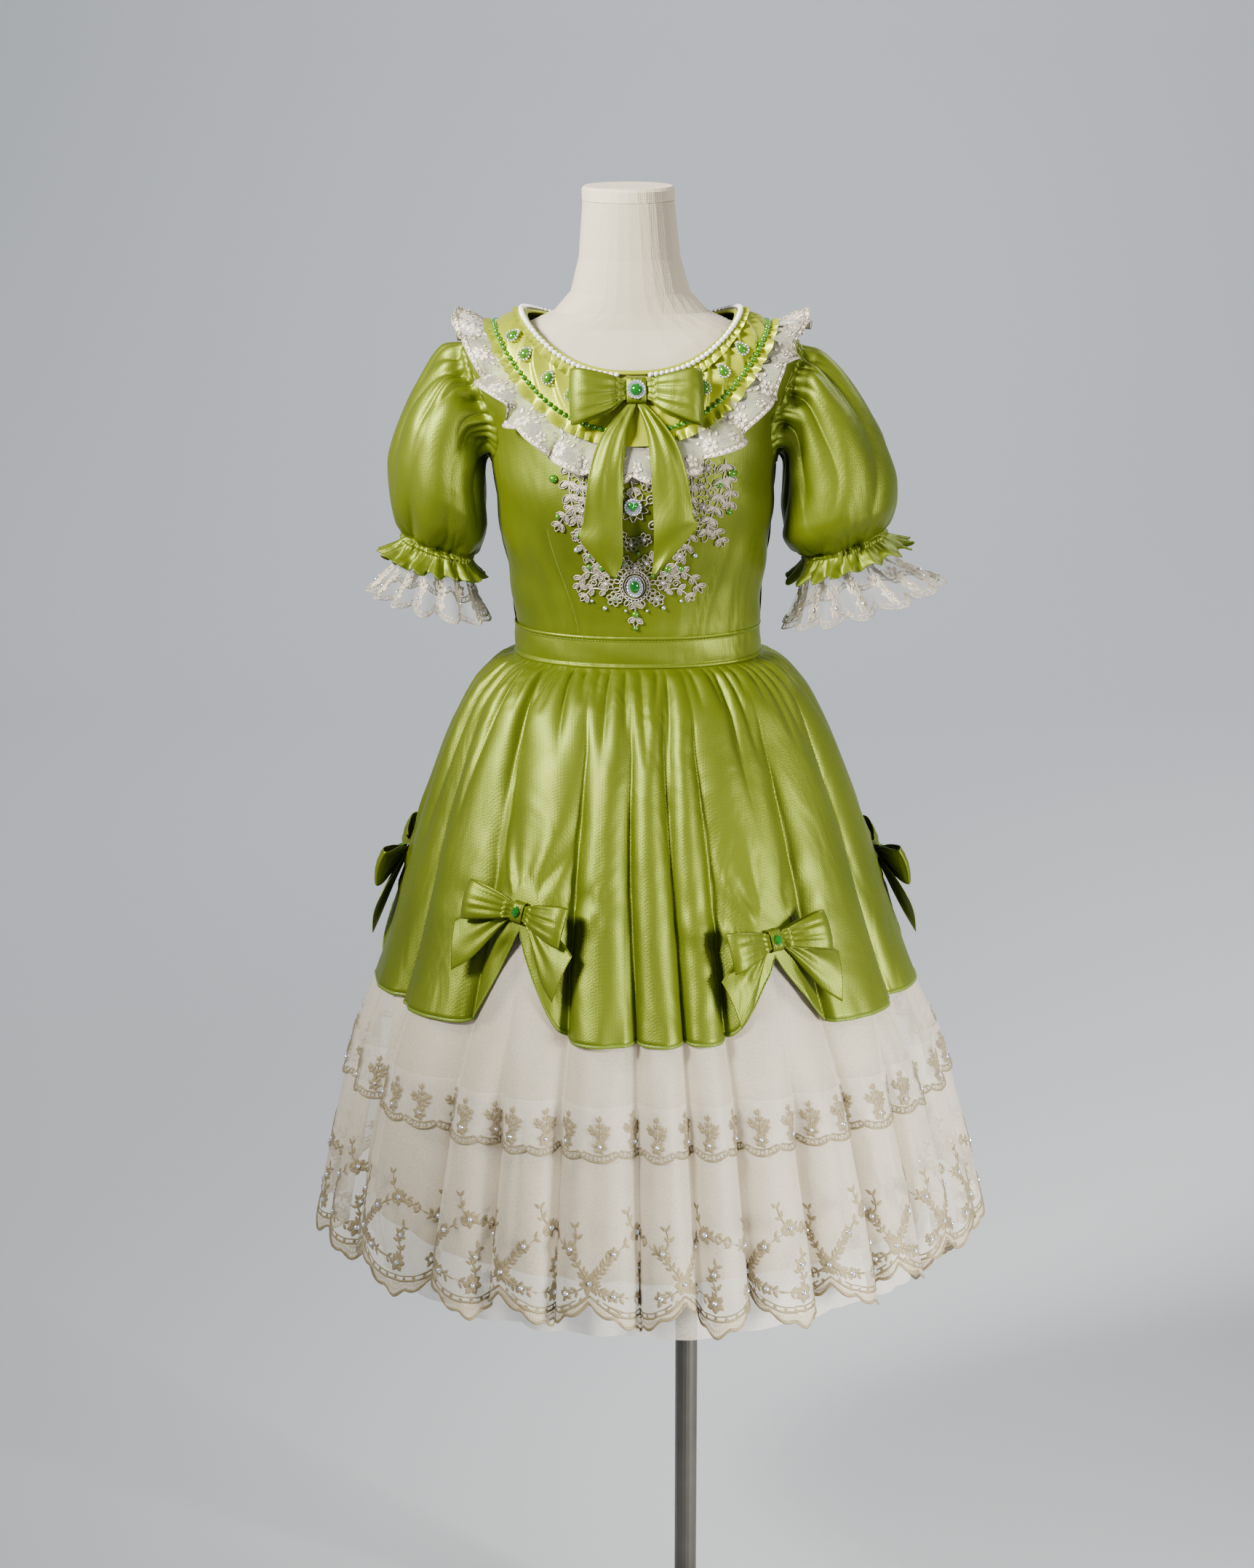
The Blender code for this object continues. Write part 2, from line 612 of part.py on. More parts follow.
def build_waistband():
    """A stitched band with a corded edge above and below, which grips the form."""
    turns = np.radians(np.arange(0, 360, 11.25))
    profile = [(0.0004, 0.0), (0.0042, 0.0), (0.0030, 0.0050)]
    profile += [(0.0030, 0.0300), (0.0040, WAISTBAND_TOP), (0.0004, WAISTBAND_TOP)]
    outlines = [[body(turn, up, out) for out, up in profile] for turn in turns]
    hoop("waistband", np.array(outlines), satin())


def build_skirt():
    turns = fold_columns(SKIRT_VALLEYS, SKIRT_COLUMNS)
    lobe = lobes(turns, SKIRT_VALLEYS)
    gather = np.arange(len(turns)) % 2
    rows = [(-SEAM, 0.0), (-0.006, 0.0030), (-0.030, 0.0040), (-0.080, 0.0024), (-0.155, 0.0006)]
    rows += [(-0.250, 0.0), (SKIRT_HEM_UP, 0.0)]
    shorter = 1 - swag_lift(turns) / abs(SKIRT_HEM_UP)
    points = []
    for row_up, depth in rows:
        up = row_up * shorter if row_up < -0.01 else np.full(len(turns), row_up)
        fold = SKIRT_DEPTH * (np.abs(up) / abs(SKIRT_HEM_UP)) ** 0.9
        points.append(skirt_point(turns, up, fold * (1 - lobe) + depth * gather))
    cloth("skirt_outer", np.array(points), SATIN, satin())


def inside(points, turns, distance):
    """Points moved in towards the garment's axis, at turns in radians."""
    inward = np.stack([-np.sin(turns), np.cos(turns), np.zeros(len(turns))], axis=-1)
    return points + inward * distance


def lace_skirt_point(turns, up):
    """The lace skirt hangs in the green skirt's folds and breaks into smaller ones below the green hem."""
    up = np.broadcast_to(up, turns.shape).astype(float)
    loose = np.clip((-0.34 - up) / 0.12, 0, 1)
    green = 1 - lobes(turns, SKIRT_VALLEYS)
    own = 1 - lobes(turns, LACE_VALLEYS)
    depth = np.interp(-up, [0.353, 0.640], [SKIRT_DEPTH, LACE_DEPTH])
    behind = np.interp(-up, [0.353, 0.412], [0.0080, 0.0])
    return skirt_point(turns, up, depth * (green * (1 - loose) + own * loose) + behind)


def build_lace_skirt():
    turns = fold_columns(SKIRT_VALLEYS, SKIRT_COLUMNS)
    scallop = np.tile([0.0, 0.62, 1.0, 0.62], SCALLOPS)
    angle = np.radians(turns)
    top = inside(section_point(LINING, angle, LACE_TOP_UP, 2.0), angle, -(SEAM + SHEER))
    band_hem = BAND_HEM_UP + 0.4 * SCALLOP_DEPTH * (1 - scallop)
    rows = [top, lace_skirt_point(turns, SKIRT_HEM_UP), lace_skirt_point(turns, BAND_TOP_UP)]
    rows.append(lace_skirt_point(turns, band_hem))
    rows.append(lace_skirt_point(turns, LACE_HEM_UP + SCALLOP_DEPTH * (1 - scallop)))
    cloth("lace_skirt", np.array(rows), SHEER, lace())
    band = [laid_over(row, SHEER + 2 * SEAM) for row in rows[2:4]]
    cloth("lace_band", np.array(band), SHEER, lace())


def build_lining():
    cream = material("cream_lining", CREAM, 0.6)
    angle = np.radians(np.arange(0, 360, 11.25))

    def ring(up, square=2.0):
        return section_point(LINING, angle, np.full(len(angle), up), square)

    rows = [ring(-SEAM, SQUARE), ring(-0.070), ring(LACE_TOP_UP), ring(TULLE_TOP_UP), ring(LINING_HEM_UP)]
    cloth("lining", np.array(rows), SHEER, cream)
    rows = [inside(ring(up), angle, SHEER + 2 * SEAM) for up in (TULLE_TOP_UP, LINING_HEM_UP, TULLE_HEM_UP)]
    cloth("tulle_flounce", np.array(rows), SHEER, material("tulle", CREAM, 0.8))


def sleeve_ring(side, ring, around, wave):
    """A ring of a sleeve or cuff: 0 is its outer side, 90 degrees its front and 180 its inner side."""
    middle_x, middle_up = (ring.outer_x + ring.inner_x) / 2, (ring.outer_up + ring.inner_up) / 2
    reach_x, reach_up = (ring.outer_x - ring.inner_x) / 2, (ring.outer_up - ring.inner_up) / 2
    shrink = 1 - ring.gather * wave / math.hypot(reach_x, reach_up)
    x = middle_x + reach_x * np.cos(around) * shrink
    y = -ring.half_depth * np.sin(around) * shrink
    up = middle_up + reach_up * np.cos(around) * shrink
    return np.stack([side * x, y, up], axis=-1)


def build_sleeve(name, side):
    around = np.radians(np.arange(0, 360, 360 / SLEEVE_COLUMNS))
    wave = 1 - np.cos(SLEEVE_GATHERS * around)
    turn, up = armhole(around)
    head = body(turn, up, BODICE_OUT + 2 * SATIN + SEAM)
    head[..., 0] *= side
    rows = [head] + [sleeve_ring(side, ring, around, wave) for ring in SLEEVES[name]]
    points = np.array(rows)
    points = points if side > 0 else points[:, ::-1]
    cloth(f"sleeve_{name}", points[:, ::-1], SATIN, satin())
    around = np.radians(np.arange(0, 360, 360 / CUFF_LACE_COLUMNS))
    wave = (1 - np.cos(CUFF_LACE_WAVES * around)) / 2
    points = np.array([sleeve_ring(side, ring, around, wave) for ring in CUFF_LACE[name]])
    points = points if side > 0 else points[:, ::-1]
    cloth(f"cuff_lace_{name}", points[:, ::-1], SHEER, lace())


def yoke_row(around, share, out):
    turn, up = ring_turn_up(ring_between(NECKLINE, YOKE_EDGE, share), around)
    return body(turn, up, out)


def from_centre_back(columns):
    """Places around the neck from one end of the collar to the other, which meet at the centre back."""
    return np.linspace(-np.pi + COLLAR_SLIT, np.pi - COLLAR_SLIT, columns)


def build_collar():
    """A pleated yoke with a ruffled edge, a bound neckline, and a lace frill that stands out from it."""
    around = from_centre_back(49)
    pleat = (np.arange(49) % 2) * np.clip((np.abs(around) - 0.22) / 0.1, 0, 1)
    face = YOKE_OUT + SATIN
    rows = [
        yoke_row(around, 0.0, face),
        yoke_row(around, 0.5, face + 0.0022 * pleat),
        yoke_row(around, 1.0, face + 0.0004 + 0.0010 * pleat),
        yoke_row(around, 1.25, face + 0.0055 + 0.0025 * pleat),
    ]
    cloth("collar_yoke", np.array(rows), SATIN, satin(), closed=False)
    turns = np.radians(np.arange(0, 360, 10))
    cord = [(-0.0062, 0.0), (-0.0054, 0.0022), (-0.0036, 0.0030), (-0.0022, 0.0022), (-0.0022, 0.0)]
    outlines = [[yoke_row(a, s / 0.05, BODICE_OUT + out) for s, out in cord] for a in turns]
    hoop("neck_binding", np.array(outlines), satin())

    around = from_centre_back(81)
    wave = (1 - np.cos(20 * around)) / 2
    ahead = np.cos(around)
    hidden = np.clip((np.abs(around) - 0.10) / 0.45, 0.15, 1)
    start = yoke_row(around, 1.1, BODICE_OUT + SATIN + SEAM + SHEER + 0.0003)
    centre = np.where(ahead > 0, LACE_EDGE.front_up, LACE_EDGE.back_up)
    up = centre + (LACE_EDGE_RIDGE_UP - centre) * np.abs(np.sin(around)) ** 2.5
    depth = np.where(ahead > 0, -0.128, 0.118)
    y = depth * np.abs(ahead) ** 1.45
    edge = np.stack([LACE_EDGE.half_width * np.sin(around), y, up], axis=-1)
    middle = (start + edge) / 2
    outward = edge - start
    across = np.stack([-np.cos(around), -np.sin(around), np.zeros(len(around))], axis=-1)
    proud = np.cross(outward, across)
    proud /= np.linalg.norm(proud, axis=-1, keepdims=True)
    proud *= np.sign((proud * np.stack([np.sin(around), -ahead, 0.6 + 0 * around], axis=-1)).sum(-1))[:, None]
    middle = middle + proud * (0.0035 + 0.0030 * wave * hidden)[:, None]
    edge = edge + proud * (0.0110 * wave * hidden)[:, None]
    cloth("collar_lace", np.array([start, middle, edge]), SHEER, lace(), closed=False)


def ribbon_frame(seat, turn, slope, roll=0.0):
    """Directions across, up and out of a bow that lies on a slope, and where its knot touches."""
    across = np.array([math.cos(turn), math.sin(turn), 0.0])
    radial = np.array([math.sin(turn), -math.cos(turn), 0.0])
    rise = np.array([0.0, 0.0, 1.0])
    up = math.cos(slope) * rise - math.sin(slope) * radial
    out = math.cos(slope) * radial + math.sin(slope) * rise
    turned = math.cos(roll) * across + math.sin(roll) * up
    return seat, turned, np.cross(out, turned), out


def in_frame(frame, places):
    seat, across, up, out = frame
    places = np.asarray(places, float)
    return seat + places[..., :1] * across + places[..., 1:2] * up + places[..., 2:] * out


def ribbon_loops(name, frame, half, finish):
    """Both loops of a bow, as one band of cloth pinched in the middle."""
    path = half[::-1] + [spot._replace(across=-spot.across) for spot in half]
    rows = [
        [(spot.across, spot.lean + share * spot.half_height, spot.out) for spot in path]
        for share in (1.0, -1.0)
    ]
    points = in_frame(frame, rows)
    cloth(name, points, SATIN, finish)


def build_skirt_bow(bow):
    turn = math.radians(bow.turn)
    seat = skirt_point(np.array([float(bow.turn)]), bow.up, 0.0)[0]
    frame = ribbon_frame(seat, turn, SKIRT_SLOPE, math.radians(-7 if "right" not in bow.name else 4))
    frame = (seat + frame[3] * bow.seat, *frame[1:])
    finish = satin()
    cut = SKIRT_BOW_CUT
    ribbon_loops(f"bow_{bow.name}_loops", frame, cut.loop, finish)

    (corner_x, corner_up), (tip_x, tip_up) = cut.tail_corner, cut.tail_tip
    columns = []
    for side in (-1, 1):
        tail = [
            ((tip_x * side, tip_up, 0.0050), (corner_x * side, corner_up, 0.0045)),
            ((0.042 * side, -0.060, 0.0045), (0.054 * side, -0.014, 0.0040)),
            ((0.018 * side, -0.022, 0.0031), (0.022 * side, -0.002, 0.0031)),
            ((0.006 * side, -0.0065, 0.0031), (0.006 * side, 0.0045, 0.0031)),
        ]
        columns += tail if side < 0 else tail[::-1]
    low = np.array([pair[0] for pair in columns], float)
    high = np.array([pair[1] for pair in columns], float)
    middle = (low + high) / 2
    middle[[1, 6], 2] += 0.003
    cloth(f"bow_{bow.name}_tails", in_frame(frame, [high, middle, low]), SATIN, finish, closed=False)

    half_width, half_height = cut.knot_half_width, cut.knot_half_height
    ring = [(-0.95, 0.0004), (0.95, 0.0004), (1.1, 0.0050), (0.85, 0.0098)]
    ring += [(0.0, 0.0110), (-0.85, 0.0098), (-1.1, 0.0050)]
    rows = [
        [(across * half_width, up * half_height, out) for up, out in ring]
        for across in (1, -1)
    ]
    cloth(f"bow_{bow.name}_knot", in_frame(frame, rows), SATIN, finish)
    gem(f"bow_{bow.name}_gem", (frame[0] + frame[3] * 0.0114, *frame[1:]), *cut.gem, 0.0035)


def gem(name, frame, half_width, half_height, height, sides=8):
    """A domed stone on a flat back."""
    dark = material("green_glass", DARK_GREEN, 0.05)
    around = np.linspace(0, 2 * np.pi, sides, endpoint=False)
    rings = []
    for size, rise in ((1.0, 0.0), (0.86, 0.6), (0.4, 1.0)):
        wide, tall = half_width * size, half_height * size
        ring = [(wide * np.cos(a), tall * np.sin(a), height * rise) for a in around]
        rings.append(in_frame(frame, ring))
    return solid(name, np.array(rings), dark)


def front_point(x, up, out):
    """The point over the form's front at a distance from its middle line."""
    x, up = np.broadcast_arrays(np.asarray(x, float), np.asarray(up, float))
    share = np.clip(np.abs(x) / along(BODY, "half_width", up), 0, 1)
    turn = np.arcsin(share ** (SQUARE / 2)) * np.sign(x)
    return body(turn, up, out)


def build_neck_bow():
    finish = satin()
    seat = front_point(NECK_BOW_X, NECK_BOW_UP, YOKE_OUT + SATIN + 0.0019)
    frame = ribbon_frame(seat, 0.0, NECK_BOW_SLOPE)
    ribbon_loops("neck_bow_loops", frame, NECK_BOW_LOOP, finish)
    ring = [(-0.95, 0.0004), (0.95, 0.0004), (1.1, 0.0050), (0.85, 0.0104)]
    ring += [(0.0, 0.0116), (-0.85, 0.0104), (-1.1, 0.0050)]
    rows = [[(across * 0.0100, up * 0.0125, out) for up, out in ring] for across in (1, -1)]
    cloth("neck_bow_knot", in_frame(frame, rows), SATIN, finish)
    gem("neck_brooch", (frame[0] + frame[3] * 0.0120, *frame[1:]), 0.0100, 0.0100, 0.0060, 12)
    for side, rows in NECK_TAILS.items():
        way = -1 if side == "left" else 1
        points = [in_frame(frame, [(way * 0.0050 + share * 0.0042, -0.0142, 0.0062) for share in (-1, 0, 1)])]
        for row in rows:
            skew = 0.010 if row is rows[-2] else 0.0
            points.append([
                (row.middle_x + share * row.half_width, -row.out_y - (0.003 if share == 0 else 0.0),
                 row.up + skew * share * way)
                for share in (-1, 0, 1)
            ])
        cloth(f"neck_bow_tail_{side}", np.array(points), SATIN, finish, closed=False)


def build_applique():
    """Lace patches that lie on the bodice's front, with stones on them."""
    for name, rows in PATCHES.items():
        shares = np.array([-1, -0.5, 0, 0.5, 1])
        out = BODICE_OUT + SATIN + PATCH_OUT[name] + SHEER
        points = [front_point(row.middle_x + shares * row.half_width, row.up, out) for row in rows]
        cloth(name, np.array(points), SHEER, lace(), closed=False)
    patch_face = BODICE_OUT + SATIN + PATCH_OUT["applique_centre"] + SHEER
    for stone in BODICE_GEMS:
        seat = front_point(stone.x, stone.up, patch_face + stone.seat)
        frame = ribbon_frame(seat, 0.0, math.radians(-13))
        gem(stone.name, frame, stone.half_width, stone.half_height, stone.height, 12)


def build_zip_pull():
    """The drop-shaped pull of the hidden zip, which hangs at the collar's slit at the centre back."""
    seat = yoke_row(np.array([np.pi]), 0.28, YOKE_OUT + SATIN + 0.0008)[0]
    frame = ribbon_frame(seat, math.pi, 0.62)
    right_side = [(0.0016, 0.003), (0.0024, -0.006)]
    outline = [(0.0, 0.006), *right_side, (0.0, -0.009), *((-x, up) for x, up in right_side[::-1])]
    rings = [in_frame(frame, [(x, up, out) for x, up in outline]) for out in (0.0, 0.0012)]
    solid("zip_pull", np.array(rings), material("zip_metal", STEEL, 0.3, 0.9))


def main():
    clear_scene()
    build_form()
    build_stand()
    build_bodice()
    build_waistband()
    build_skirt()
    build_lace_skirt()
    build_lining()
    build_sleeve("left", -1)
    build_sleeve("right", 1)
    build_collar()
    build_neck_bow()
    for bow in SKIRT_BOWS:
        build_skirt_bow(bow)
    build_applique()
    build_zip_pull()


main()
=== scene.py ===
"""The look of a party dress on a dress form: fine cloth, lace, embroidery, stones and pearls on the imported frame.

Metres, +Z up, the front faces -Y. Garment places are (x, y, up): x from the form's own axis, up above the waist seam.
"""

import math
from collections import namedtuple

import bpy
import numpy as np
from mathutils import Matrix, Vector


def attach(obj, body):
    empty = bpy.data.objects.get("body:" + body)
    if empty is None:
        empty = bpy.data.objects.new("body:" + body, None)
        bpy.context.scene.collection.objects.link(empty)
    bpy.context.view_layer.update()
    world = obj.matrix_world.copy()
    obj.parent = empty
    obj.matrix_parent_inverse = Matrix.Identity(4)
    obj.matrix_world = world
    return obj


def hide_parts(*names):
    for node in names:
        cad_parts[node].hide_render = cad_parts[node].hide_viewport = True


bl_info = {
    "name": "Party Dress on a Form",
    "version": (1, 0, 0),
    "blender": (4, 5, 0),
    "location": "View3D > Sidebar > Dress",
    "description": "Dresses the packed frame with satin, lace, embroidery and stones",
    "category": "Object",
}

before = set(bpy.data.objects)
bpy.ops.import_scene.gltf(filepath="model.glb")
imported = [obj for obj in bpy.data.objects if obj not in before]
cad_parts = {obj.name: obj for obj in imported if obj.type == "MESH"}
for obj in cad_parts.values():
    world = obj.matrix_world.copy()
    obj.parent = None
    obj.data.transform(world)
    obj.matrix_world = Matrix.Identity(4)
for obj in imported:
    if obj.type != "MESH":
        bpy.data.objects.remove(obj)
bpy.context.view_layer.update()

# Where the garment stands, and its layers
WAIST_Z = 1.190
AXIS_X = -0.055
LEAN = 0.022
SATIN = 0.0010
SEAM = 0.0004
SQUARE = 2.2
BODICE_OUT = 0.0015
YOKE_OUT = 0.0043
COLLAR_SLIT = 0.0035

# Heights above the waist seam, and the depths and repeats that go with them
WAISTBAND_TOP = 0.0345
UNDERARM_UP = 0.205
SHOULDER_TIP_UP = 0.3305
ARMHOLE_TURN = math.radians(25)
BACK_DART_X = 0.065
DART_WIDTH = 0.0028
SKIRT_HEM_UP = -0.353
SKIRT_DEPTH = 0.026
LACE_TOP_UP = -0.14
# The lace skirt's rows are level down to here, and follow its scallops below
LACE_LEVEL_UP = -0.56
LACE_HEM_UP = -0.640
LACE_DEPTH = 0.034
REPEATS = 24
BAND_TOP_UP = -0.408
BAND_HEM_UP = -0.462
BAND_REPEATS = 66
BAND_SCALLOP = 0.0060
LINING_HEM_UP = -0.600
TULLE_TOP_UP = -0.500
TULLE_HEM_UP = -0.662

Section = namedtuple("Section", "up half_width front back")
BODY = [
    Section(-0.220, 0.158, 0.104, 0.122),
    Section(-0.130, 0.161, 0.104, 0.124),
    Section(-0.060, 0.145, 0.095, 0.106),
    Section(-0.020, 0.1325, 0.0893, 0.0945),
    Section(0.000, 0.1285, 0.0880, 0.0920),
    Section(0.0345, 0.1275, 0.0885, 0.0915),
    Section(0.080, 0.1315, 0.0945, 0.0935),
    Section(0.130, 0.1395, 0.1070, 0.0970),
    Section(0.180, 0.1450, 0.1180, 0.1000),
    Section(0.215, 0.1470, 0.1130, 0.1020),
    Section(0.250, 0.1540, 0.1020, 0.1020),
    Section(0.285, 0.1690, 0.0890, 0.0970),
    Section(0.310, 0.1780, 0.0760, 0.0880),
    Section(0.325, 0.1760, 0.0680, 0.0780),
    Section(0.337, 0.1590, 0.0620, 0.0690),
    Section(0.347, 0.1350, 0.0580, 0.0630),
    Section(0.357, 0.1080, 0.0550, 0.0580),
    Section(0.366, 0.0820, 0.0560, 0.0560),
    Section(0.378, 0.0685, 0.0560, 0.0545),
    Section(0.400, 0.0605, 0.0540, 0.0525),
    Section(0.440, 0.0525, 0.0505, 0.0505),
    Section(0.478, 0.0475, 0.0475, 0.0475),
]
SKIRT = [
    Section(0.000, 0.1318, 0.0913, 0.0953),
    Section(-0.006, 0.1520, 0.1100, 0.1160),
    Section(-0.030, 0.1770, 0.1390, 0.1450),
    Section(-0.070, 0.2010, 0.1670, 0.1740),
    Section(-0.120, 0.2235, 0.1930, 0.2000),
    Section(-0.180, 0.2450, 0.2180, 0.2250),
    Section(-0.240, 0.2630, 0.2400, 0.2460),
    Section(-0.300, 0.2820, 0.2620, 0.2670),
    Section(-0.353, 0.3030, 0.2860, 0.2900),
    Section(-0.390, 0.3150, 0.3010, 0.3050),
    Section(-0.450, 0.3310, 0.3190, 0.3230),
    Section(-0.510, 0.3460, 0.3350, 0.3390),
    Section(-0.570, 0.3600, 0.3500, 0.3540),
    Section(-0.640, 0.3740, 0.3660, 0.3700),
]
LINING = [
    Section(0.000, 0.1301, 0.0896, 0.0936),
    Section(-0.020, 0.1420, 0.1010, 0.1060),
    Section(-0.070, 0.1760, 0.1400, 0.1460),
    Section(-0.140, 0.2130, 0.1820, 0.1890),
    Section(-0.353, 0.2660, 0.2480, 0.2530),
    Section(-0.500, 0.2960, 0.2860, 0.2900),
    Section(-0.600, 0.3150, 0.3060, 0.3100),
    Section(-0.662, 0.3190, 0.3090, 0.3130),
]
SKIRT_VALLEYS = [-167, -140, -117, -89, -64, -41, -17, -2, 8, 17, 42, 66, 92, 120, 141, 167]
LACE_VALLEYS = sorted(SKIRT_VALLEYS + [-153, -103, -76, -29, 29, 54, 79, 106, 154, 180])

SkirtBow = namedtuple("SkirtBow", "name turn up lift roll")
SKIRT_BOWS = [
    SkirtBow("front_left", -29, -0.230, 0.106, -7),
    SkirtBow("front_right", 29.5, -0.258, 0.080, 4),
    SkirtBow("side_right", 106, -0.245, 0.092, 4),
    SkirtBow("back", 180, -0.245, 0.090, -7),
    SkirtBow("side_left", -103, -0.240, 0.096, -7),
]
WAIST_GATHERS = 68
# The setting at which a crease list's own depths hold
LISTED_GATHER_DEPTH = 0.0026
SWAG_HALF_TURN = 15.0
SWAG_POWER = 2.3
SKIRT_SLOPE = math.radians(18)

Ring = namedtuple("Ring", "half_width front_up back_up")
NECKLINE = Ring(0.1110, 0.303, 0.338)
YOKE_EDGE = Ring(0.1410, 0.250, 0.296)
LACE_EDGE = Ring(0.1900, 0.200, 0.246)
LACE_EDGE_RIDGE_UP = 0.347
LACE_EDGE_FRONT_Y, LACE_EDGE_BACK_Y = -0.128, 0.118
YOKE_PLEATS = 30
# Where the yoke's drop stones are round the neck, in radians, and how far out on it
YOKE_DROPS = (-1.20, -1.00, -0.72, -0.50, 1.05, 0.80, 0.60, -2.1, 2.1, -2.5, 2.5)
YOKE_DROP_SHARE = 0.55
# The collar's and cuffs' lace: scallops by their share of the lace's depth, which its motifs call its drop
COLLAR_FOLDS = 26
COLLAR_REPEATS = 26
COLLAR_SCALLOP = 0.21
COLLAR_LACE_DROP = 0.052
CUFF_FOLDS = 13
CUFF_REPEATS = 14
CUFF_SCALLOP = 0.16
CUFF_LACE_DROP = 0.058

SleeveRing = namedtuple("SleeveRing", "outer_x outer_up inner_x inner_up half_depth")
SLEEVES = {
    "left": [
        SleeveRing(0.2020, 0.329, 0.1540, 0.197, 0.059),
        SleeveRing(0.2310, 0.292, 0.1530, 0.179, 0.068),
        SleeveRing(0.2505, 0.252, 0.1525, 0.159, 0.073),
        SleeveRing(0.2615, 0.212, 0.1530, 0.140, 0.074),
        SleeveRing(0.2640, 0.172, 0.1545, 0.122, 0.070),
        SleeveRing(0.2600, 0.143, 0.1620, 0.107, 0.058),
        SleeveRing(0.2520, 0.123, 0.1710, 0.098, 0.044),
        SleeveRing(0.2700, 0.106, 0.1630, 0.079, 0.054),
    ],
    "right": [
        SleeveRing(0.2010, 0.329, 0.1540, 0.197, 0.059),
        SleeveRing(0.2370, 0.292, 0.1525, 0.179, 0.069),
        SleeveRing(0.2630, 0.250, 0.1515, 0.158, 0.075),
        SleeveRing(0.2775, 0.207, 0.1515, 0.139, 0.078),
        SleeveRing(0.2810, 0.168, 0.1525, 0.121, 0.075),
        SleeveRing(0.2775, 0.146, 0.1615, 0.107, 0.063),
        SleeveRing(0.2700, 0.129, 0.1735, 0.099, 0.050),
        SleeveRing(0.2900, 0.116, 0.1625, 0.078, 0.061),
    ],
}
ELASTIC_RING = 7
SLEEVE_FRILLS = 17
CUFF_LACE = {
    "left": [
        SleeveRing(0.2472, 0.1195, 0.1753, 0.0985, 0.0387),
        SleeveRing(0.2570, 0.0950, 0.1740, 0.0720, 0.0430),
        SleeveRing(0.2700, 0.0800, 0.1680, 0.0530, 0.0520),
        SleeveRing(0.2830, 0.0660, 0.1610, 0.0330, 0.0620),
    ],
    "right": [
        SleeveRing(0.2652, 0.1255, 0.1778, 0.0995, 0.0447),
        SleeveRing(0.2770, 0.1000, 0.1750, 0.0710, 0.0500),
        SleeveRing(0.3010, 0.0860, 0.1680, 0.0490, 0.0610),
        SleeveRing(0.3270, 0.0740, 0.1590, 0.0270, 0.0720),
    ],
}

RIBBON_THICKNESS = 0.0008
BINDING_THICKNESS = 0.0004
RibbonPlace = namedtuple("RibbonPlace", "across out half_height lean")
SKIRT_BOW_LOOP = [
    RibbonPlace(0.0075, 0.0036, 0.0080, 0.0),
    RibbonPlace(0.025, 0.0055, 0.0140, 0.0),
    RibbonPlace(0.050, 0.0085, 0.0200, -0.001),
    RibbonPlace(0.0610, 0.0140, 0.0215, -0.002),
    RibbonPlace(0.050, 0.0200, 0.0200, -0.001),
    RibbonPlace(0.025, 0.0165, 0.0135, 0.0),
    RibbonPlace(0.0075, 0.0080, 0.0080, 0.0),
]
NECK_BOW_LOOP = [
    RibbonPlace(0.0110, 0.0036, 0.0100, 0.0),
    RibbonPlace(0.028, 0.0045, 0.0190, -0.004),
    RibbonPlace(0.057, 0.0050, 0.0270, -0.007),
    RibbonPlace(0.0690, 0.0120, 0.0285, -0.008),
    RibbonPlace(0.057, 0.0220, 0.0270, -0.006),
    RibbonPlace(0.028, 0.0190, 0.0180, -0.003),
    RibbonPlace(0.0110, 0.0085, 0.0100, 0.0),
]
NECK_BOW_UP = 0.290
NECK_BOW_X = 0.004
NECK_BOW_SLOPE = math.radians(13)
TailRow = namedtuple("TailRow", "up middle_x half_width out_y")
NECK_TAILS = {
    "left": [
        TailRow(0.250, -0.0190, 0.0130, 0.1195),
        TailRow(0.215, -0.0280, 0.0175, 0.1300),
        TailRow(0.165, -0.0330, 0.0200, 0.1335),
        TailRow(0.135, -0.0350, 0.0215, 0.1330),
        TailRow(0.107, -0.0240, 0.0030, 0.1320),
    ],
    "right": [
        TailRow(0.250, 0.0270, 0.0130, 0.1195),
        TailRow(0.215, 0.0350, 0.0180, 0.1300),
        TailRow(0.170, 0.0390, 0.0205, 0.1335),
        TailRow(0.147, 0.0400, 0.0215, 0.1330),
        TailRow(0.110, 0.0190, 0.0030, 0.1320),
    ],
}


# The applique's middle line, and the two stones on it
APPLIQUE_X = -0.002
MEDALLION_UP = 0.0915
HEART_UP = 0.178

# The studio: the paper's length, how far it lies before the form, and where and how tightly it sweeps up
PAPER_LENGTH = 17.0
PAPER_BEFORE = 7.0
SWEEP_START = 4.6
SWEEP_RADIUS = 1.6
Lamp = namedtuple("Lamp", "name where target size power spread colour")
LAMPS = [
    Lamp("key", (-2.4, -1.9, 3.2), (-0.05, 0, 1.75), 1.0, 46, 44, (1.0, 0.97, 0.91)),
    Lamp("fill", (2.7, -2.2, 1.1), (-0.05, 0, 0.25), 1.0, 35, 50, (1.0, 0.975, 0.93)),
    Lamp("rim", (1.6, 1.2, 3.0), (-0.05, 0, 1.15), 1.0, 36, 180, (1.0, 0.98, 0.95)),
    Lamp("wall", (0.4, 3.0, 4.6), (0.2, 6.2, 0.8), 2.0, 150, 150, (0.98, 0.99, 1.0)),
]
CAMERA_PLACE = (-0.067, -3.6, 2.003)
CAMERA_TILT = math.radians(90 - 14.95)
CAMERA_LENS, CAMERA_SENSOR = 79.1, 36


